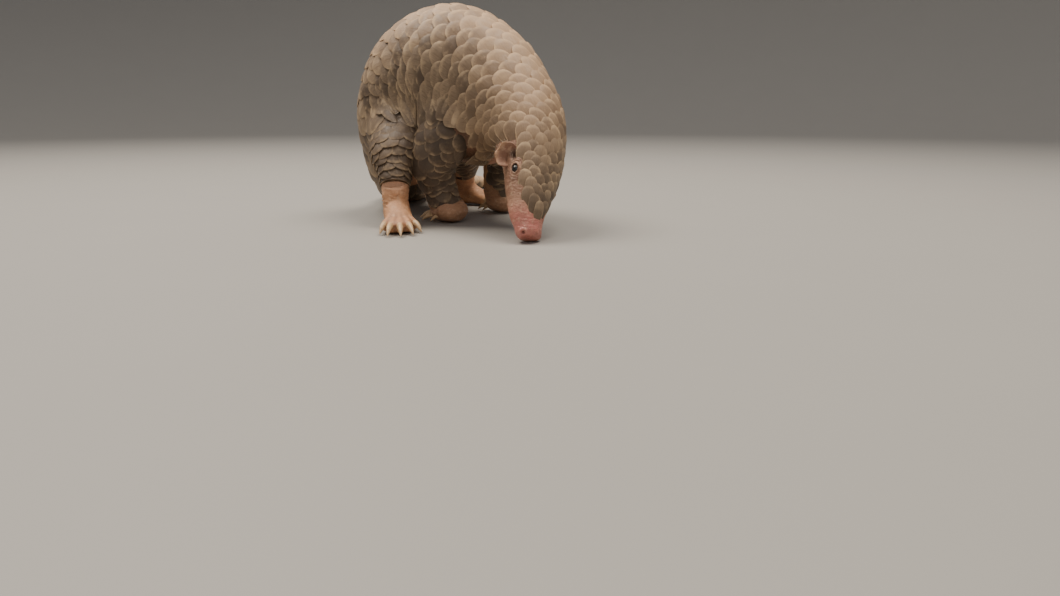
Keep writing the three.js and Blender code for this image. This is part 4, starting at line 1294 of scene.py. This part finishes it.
class PANGOLIN_OT_trunk_scales(Operator):
    """The scales of the head, neck, trunk and tail, in rows that overlap like tiles"""

    bl_idname = "pangolin.trunk_scales"
    bl_label = "Trunk scales"

    def execute(self, context):
        """Scales lie over the upper legs by their drape. Those too high, steep or sudden on it, inside
        a leg, or over an eye or an ear's hole are left out."""
        sizes = context.scene.pangolin_sizes
        rng = np.random.default_rng(sizes.seed)
        material = scale_material()
        near_head = (1, 1.1, 1.25, 1.5, 1.7, 1.9)
        pitch = grown(sizes.head_pitch, near_head, sizes.row_pitch, (1, 1.1, 1.15, 0.75))
        near_head = (1, 1.05, 1.2, 1.5, 1.8, 2.1)
        width = grown(sizes.head_width, near_head, sizes.scale_width, (1, 1, 0.95, 0.5))
        depth = marked({0.5: 0.42, 3: 0.5, 5: 0.85, 7: 1.0}, sizes.scale_depth)
        low = marked({0.5: -1.0, 3: -1.4, 6: -2.2, 18: -2.2, 19.5: -0.6})
        high = marked({0.5: 0.8, 3: 1.3, 5: 2.2, 7: 3.0, 11: 3.0, 17: 2.2, 18.5: 0.5})
        stations = row_stations(spine, 0.3, STATION["tip"] - 0.35, pitch)
        rows = lay_rows(spine, stations, width, cover_half_angle, low, high, depth, rng)
        drape = Drape()
        angle = rows["angle"]
        root, s, end = (station_of(stations, rows, share) for share in (0.3, 0.8, 1.0))
        height = drape(s, angle)
        turn = 0.3 * rows["width"] / spine.pace(s, angle)[1]
        steep = np.abs(drape(s, angle + turn) - drape(s, angle - turn))
        fall = np.abs(drape(root, angle) - drape(end, angle))
        behind = smooth(7.5, 8.5, s)
        hidden = (height > TOO_HIGH + 2 * behind) | (steep > TOO_STEEP + 5 * behind)
        hidden |= fall > TOO_SUDDEN + 3 * behind
        draped = spine.point(s, angle, height)
        for limb in legs.values():
            hidden |= inside(limb, draped, 3.0)
        tips = spine.point(s, angle)
        for mark in (EYE, EAR_HOLE):
            for place, *_ in marks_on_head(mark):
                hidden |= away(tips, place) < mark["clear"]
        rows = dusted(spine, stations, rows)
        rows["dust"] = np.minimum(rows["dust"] + 0.35 * bell(s, 5.0, 1.3), 1)
        on_tail = s > STATION["root"] + 0.3
        on_head = s < STATION["nape"]
        for name, part in (("head", on_head), ("body", ~on_head & ~on_tail), ("tail", on_tail)):
            scales(f"scales_{name}", spine, stations, keep(rows, part & ~hidden), rng, material, drape)
        return {"FINISHED"}


class PANGOLIN_OT_leg_scales(Operator):
    """The scales of the four legs, which get smaller towards the feet"""

    bl_idname = "pangolin.leg_scales"
    bl_label = "Leg scales"

    def execute(self, context):
        """Rows begin under the trunk's scales. The inner rear of each lower foreleg stays bare."""
        sizes = context.scene.pangolin_sizes
        rng = np.random.default_rng(sizes.seed + 1)
        material = bpy.data.materials["scale_horn"]
        pitch = marked({0: 1.2, 1.5: 1.1, 4: 0.8}, sizes.row_pitch)
        width = marked({0: 0.85, 1.5: 0.72, 4: 0.48}, sizes.scale_width)
        depth = marked({0: 0.9, 4: 0.6}, sizes.scale_depth)
        spread = marked({0.8: 178, 1.4: 168, 2.2: 126, 4: 100}, math.pi / 180)
        low = marked({0.8: -3.2, 1.6: -1.9})
        high = marked({0.8: -0.6, 1.3: 0.6, 1.8: 2.3, 2.8: 1.5, 3.5: 0.3})
        for name, limb in legs.items():
            on_foreleg = name.startswith("fore")
            stations = row_stations(limb, 0.7, 3.45 if on_foreleg else 3.5, pitch)
            rows = lay_rows(limb, stations, width, spread, low, high, depth, rng, LEG_SHINGLE)
            s = station_of(stations, rows, 0.8)
            tips = limb.point(s, rows["angle"])
            bare = on_foreleg & (tips[:, 2] < 60) & (limb.spot(s, rows["angle"])[1][:, 1] > -0.1)
            rows = dusted(limb, stations, keep(rows, ~inside(spine, tips, 1.0) & ~bare))
            # Painted shade: the leg scales get less dust, a lower tone and a dark brown mix, so that they
            # look shaded
            rows["dust"] *= 0.12
            rows["tone"] *= 0.4
            scales(f"scales_{name}", limb, stations, rows, rng, material, painted_shade=0.8)
        return {"FINISHED"}


def claw_surface(root, tip, half, arch):
    """A claw as rings along a bent line. The middle goes straight from root to tip, plus an arch of
    sin(pi t). The radius is half (1 - 0.86 t^2.2), a little higher than wide and flat below."""
    t = np.linspace(0, 1, 22)[:, None, None]
    turn = turns(20)[:, None]
    along = tip - root
    across = unit(np.cross(along, UP))
    middle = root + along * t + UP * arch * np.sin(np.pi * t)
    slope = unit(along + UP * arch * np.pi * np.cos(np.pi * t))
    upward = unit(np.cross(across, slope))
    radius = half * (1 - 0.86 * t**2.2) * np.sqrt(np.clip(1.0 - t**14, 0.02, 1))
    high = np.where(np.sin(turn) > 0, 1.08, 0.72) * np.sin(turn)
    return middle + across * radius * 0.85 * np.cos(turn) + upward * radius * high, tube_map(t, turn)


class PANGOLIN_OT_claws(Operator):
    """Five claws on each foot, folded back under the forefeet"""

    bl_idname = "pangolin.claws"
    bl_label = "Claws"

    def execute(self, context):
        material = claw_material()
        root, root_height, tip_height, half, arch = HIND_CLAW.values()
        ends = [toe_end(*toe) for toe in HIND_TOES]
        hind_claws = [((*(end * root), root_height), (*end, tip_height), half, arch) for end in ends]
        for side in SIDES:
            for foot, feet, claws in (("hind", HIND_FEET, hind_claws), ("fore", FORE_FEET, FORE_CLAWS)):
                *_, place = foot_frame(feet, side)
                made = [claw_surface(place(root), place(tip), *size) for root, tip, *size in claws]
                shape = Shape()
                for rings, _ in made:
                    shape.tube(rings)
                name = f"{foot}_{side}"
                make_piece(
                    f"claws_{name}",
                    *shape.mesh(),
                    material,
                    "claw",
                    [f"claw_{name}_{i}" for i in range(1, 6)],
                    sharp=CLAW_SHARP,
                    corner_maps={"Claw": np.vstack([places for _, places in made])},
                )
        return {"FINISHED"}


HAIR_PATCH = 0.003  # of the map, for each hair
HAIR_UNWRAP = (20, 7)  # stations along and radians round that the map has room for


class PANGOLIN_OT_hairs(Operator):
    """Sparse pale bristles on the belly, throat, cheeks and inner legs"""

    bl_idname = "pangolin.hairs"
    bl_label = "Hairs"

    def execute(self, context):
        """Each hair is a spike of three rings of three points that bends along the lie of the coat."""
        sizes = context.scene.pangolin_sizes
        rng = np.random.default_rng(sizes.seed + 2)
        count = sizes.hair_count
        s = rng.uniform(0.5, 10.4, count)
        bare = cover_half_angle(s)
        side = rng.choice([-1, 1], count)
        angle = side * (bare + (np.pi - bare) * rng.uniform(0, 1, count) ** 1.2 - 0.12)
        length = marked({0.5: 0.14, 2.5: 0.3, 4: 0.6, 6: 1.0, 10: 1.0}, sizes.hair_length)(s)
        length = length * rng.uniform(0.6, 1.0, count)
        at, out, back, aside = spine.spot(s, angle)
        at = at + out * (skin_lift(s, angle) - 0.6)[:, None]
        clear = ~np.any([inside(limb, at, 0.5) for limb in legs.values()], axis=0)
        for place, *_ in marks_on_head(EYE):
            clear &= away(at, place) > 6
        lie = unit(out * 0.55 + back * 0.8 + aside * rng.normal(0, 0.25, (count, 1)))
        tone = rng.uniform(0, 1, count)
        s, angle, length, at, out, back, aside, lie, tone = (
            values[clear] for values in (s, angle, length, at, out, back, aside, lie, tone)
        )
        t = np.array([0.0, 0.5, 1.0])[None, :, None, None]
        turn = (np.arange(3) * 2 * np.pi / 3)[None, None, :, None]
        at, out, aside, lie, sag = (way[:, None, None] for way in (at, out, aside, lie, back - out * 0.6))
        long_ = length[:, None, None, None]
        line = at + lie * long_ * t + sag * long_ * 0.28 * t**2
        wide = (0.11 + 0.012 * long_) * (1 - 0.92 * t)
        ring = line + wide * (aside * np.cos(turn) + out * np.sin(turn))
        parts = (grid_faces(3, 3, closed=True)[:, ::-1], np.array([[0, 1, 2], [8, 7, 6]]))
        first = (np.arange(len(ring)) * 9)[:, None, None]
        home = np.stack([s / HAIR_UNWRAP[0], (angle + np.pi) / HAIR_UNWRAP[1]], -1)[:, None, :]
        patch = np.stack([np.repeat([0, 0.5, 1], 3), np.tile([0, 0.5, 1], 3)], -1) * HAIR_PATCH
        make_piece(
            "bristles",
            ring.reshape(-1, 3),
            [(part[None] + first).reshape(-1, part.shape[1]) for part in parts],
            hair_material(),
            "skin",
            corner_maps={"OFBake": (home + patch[None]).reshape(-1, 2)},
            point_values={"tone": np.repeat(tone, 9)},
        )
        return {"FINISHED"}


# The stage

FLOOR_SIDES = 96
FLOOR_RADIUS = 2400
FLOOR_CURVE = 1200
CAMERA_AT = np.array([-420.6, -486.2, 96.0])
CAMERA_TURN = math.atan2(0.692, 0.722)
CAMERA_DIP = math.radians(15)
CAMERA_SENSOR = 36.0
CAMERA_LENS = CAMERA_SENSOR * 700 / 1060  # a focal length of 700 in the photo's width of 1060
SKY = {"Color": (0.97, 0.97, 1.0, 1), "Strength": 0.33}


def placed(data, at, look):
    """An object for a lamp or camera, upright, that looks along a way."""
    made = bpy.data.objects.new(data.name, data)
    made.location = at
    made.rotation_mode = "QUATERNION"
    made.rotation_quaternion = look.to_track_quat("-Z", "Y")
    bpy.context.scene.collection.objects.link(made)
    return made


def soft_light(name, place, size, power, warmth, target):
    """A square lamp that looks at the target."""
    light = bpy.data.lights.new(name, "AREA")
    light.size = size
    light.energy = power
    light.color = warmth
    return placed(light, target + place, -place)


class PANGOLIN_OT_stage(Operator):
    """A plain pale floor that curves up all round, soft lights, and the camera at the photo's view"""

    bl_idname = "pangolin.stage"
    bl_label = "Stage"

    def execute(self, context):
        """The floor is a profile turned about the upright: flat, then a quarter circle, then a wall."""
        scene = context.scene
        arc = np.linspace(0, np.pi / 2, 16)
        radius = np.concatenate([[400, 1200], FLOOR_RADIUS + FLOOR_CURVE * np.sin(arc)])[:, None]
        height = np.concatenate([[0, 0], FLOOR_CURVE * (1 - np.cos(arc))])[:, None]
        turn = turns(FLOOR_SIDES)
        rings = np.stack([radius * np.cos(turn), radius * np.sin(turn), height + 0 * turn], -1)
        points = np.vstack([rings.reshape(-1, 3), [[0, 0, 0]]]) - STAND
        k = np.arange(FLOOR_SIDES)
        middle = np.stack([k, (k + 1) % FLOOR_SIDES, np.full(FLOOR_SIDES, len(points) - 1)], -1)
        outer = grid_faces(len(rings), FLOOR_SIDES, closed=True)[:, ::-1]
        floor = mesh_object("floor", points, [outer, middle])
        finish = Finish("pale_floor")
        shade = tuple(scene.pangolin_colours.floor)
        speck = finish.noise(finish.object_place(), 9.0, 3.0)
        shade = finish.coats(shade, (speck, 0.3, 0.7, 0.08, linear(146, 143, 139)))
        floor.data.materials.append(finish.surface(shade, 0.6))

        world = bpy.data.worlds.new("soft_room")
        world.use_nodes = True
        for name, value in SKY.items():
            world.node_tree.nodes["Background"].inputs[name].default_value = value
        scene.world = world

        target = Vector(((CAD_BOX[0][k] + CAD_BOX[1][k]) / 2 for k in range(3)))
        ahead = Vector((math.cos(CAMERA_TURN), math.sin(CAMERA_TURN), 0))
        right = Vector((ahead.y, -ahead.x, 0))
        up = Vector(UP)
        for name, place, size, power, warmth in (
            ("key", right * 0.45 + ahead * 0.1 + up * 1.5, 0.8, 25.0, (1.0, 0.9, 0.77)),
            ("front", right * 0.1 - ahead * 1.3 + up * 0.7, 1.0, 3.0, (1.0, 0.96, 0.92)),
            ("back", -right * 0.75 + ahead * 0.3 + up * 1.6, 0.9, 38.0, (1.0, 0.91, 0.79)),
        ):
            soft_light(name, place, size, power, warmth, target)

        data = bpy.data.cameras.new("camera")
        data.sensor_width = CAMERA_SENSOR
        data.lens = CAMERA_LENS
        data.clip_start = 0.01
        look = ahead * math.cos(CAMERA_DIP) - up * math.sin(CAMERA_DIP)
        scene.camera = placed(data, Vector((CAMERA_AT + STAND) * MM), look)
        return {"FINISHED"}


class PANGOLIN_PT_panel(Panel):
    """Sizes and colours of the pangolin, and its pieces"""

    bl_idname = "PANGOLIN_PT_panel"
    bl_label = "Pangolin"
    bl_space_type = "VIEW_3D"
    bl_region_type = "UI"
    bl_category = "Pangolin"

    def draw(self, context):
        layout = self.layout
        for group in (context.scene.pangolin_sizes, context.scene.pangolin_colours):
            box = layout.box()
            for name in group.__annotations__:
                box.prop(group, name)
        for operator in PIECES:
            layout.operator(operator.bl_idname)


PIECES = (
    PANGOLIN_OT_stage,
    PANGOLIN_OT_skin,
    PANGOLIN_OT_eyes,
    PANGOLIN_OT_trunk_scales,
    PANGOLIN_OT_leg_scales,
    PANGOLIN_OT_claws,
    PANGOLIN_OT_hairs,
)
CLASSES = (PANGOLIN_PG_sizes, PANGOLIN_PG_colours, *PIECES, PANGOLIN_PT_panel)


def register():
    for made in CLASSES:
        bpy.utils.register_class(made)
    bpy.types.Scene.pangolin_sizes = PointerProperty(type=PANGOLIN_PG_sizes)
    bpy.types.Scene.pangolin_colours = PointerProperty(type=PANGOLIN_PG_colours)


def unregister():
    del bpy.types.Scene.pangolin_colours
    del bpy.types.Scene.pangolin_sizes
    for made in reversed(CLASSES):
        bpy.utils.unregister_class(made)


def main():
    """Makes every piece in order."""
    register()
    bpy.ops.pangolin.stage()
    bpy.ops.pangolin.skin()
    bpy.ops.pangolin.eyes()
    bpy.ops.pangolin.trunk_scales()
    bpy.ops.pangolin.leg_scales()
    bpy.ops.pangolin.claws()
    bpy.ops.pangolin.hairs()


if __name__ == "__main__":
    main()
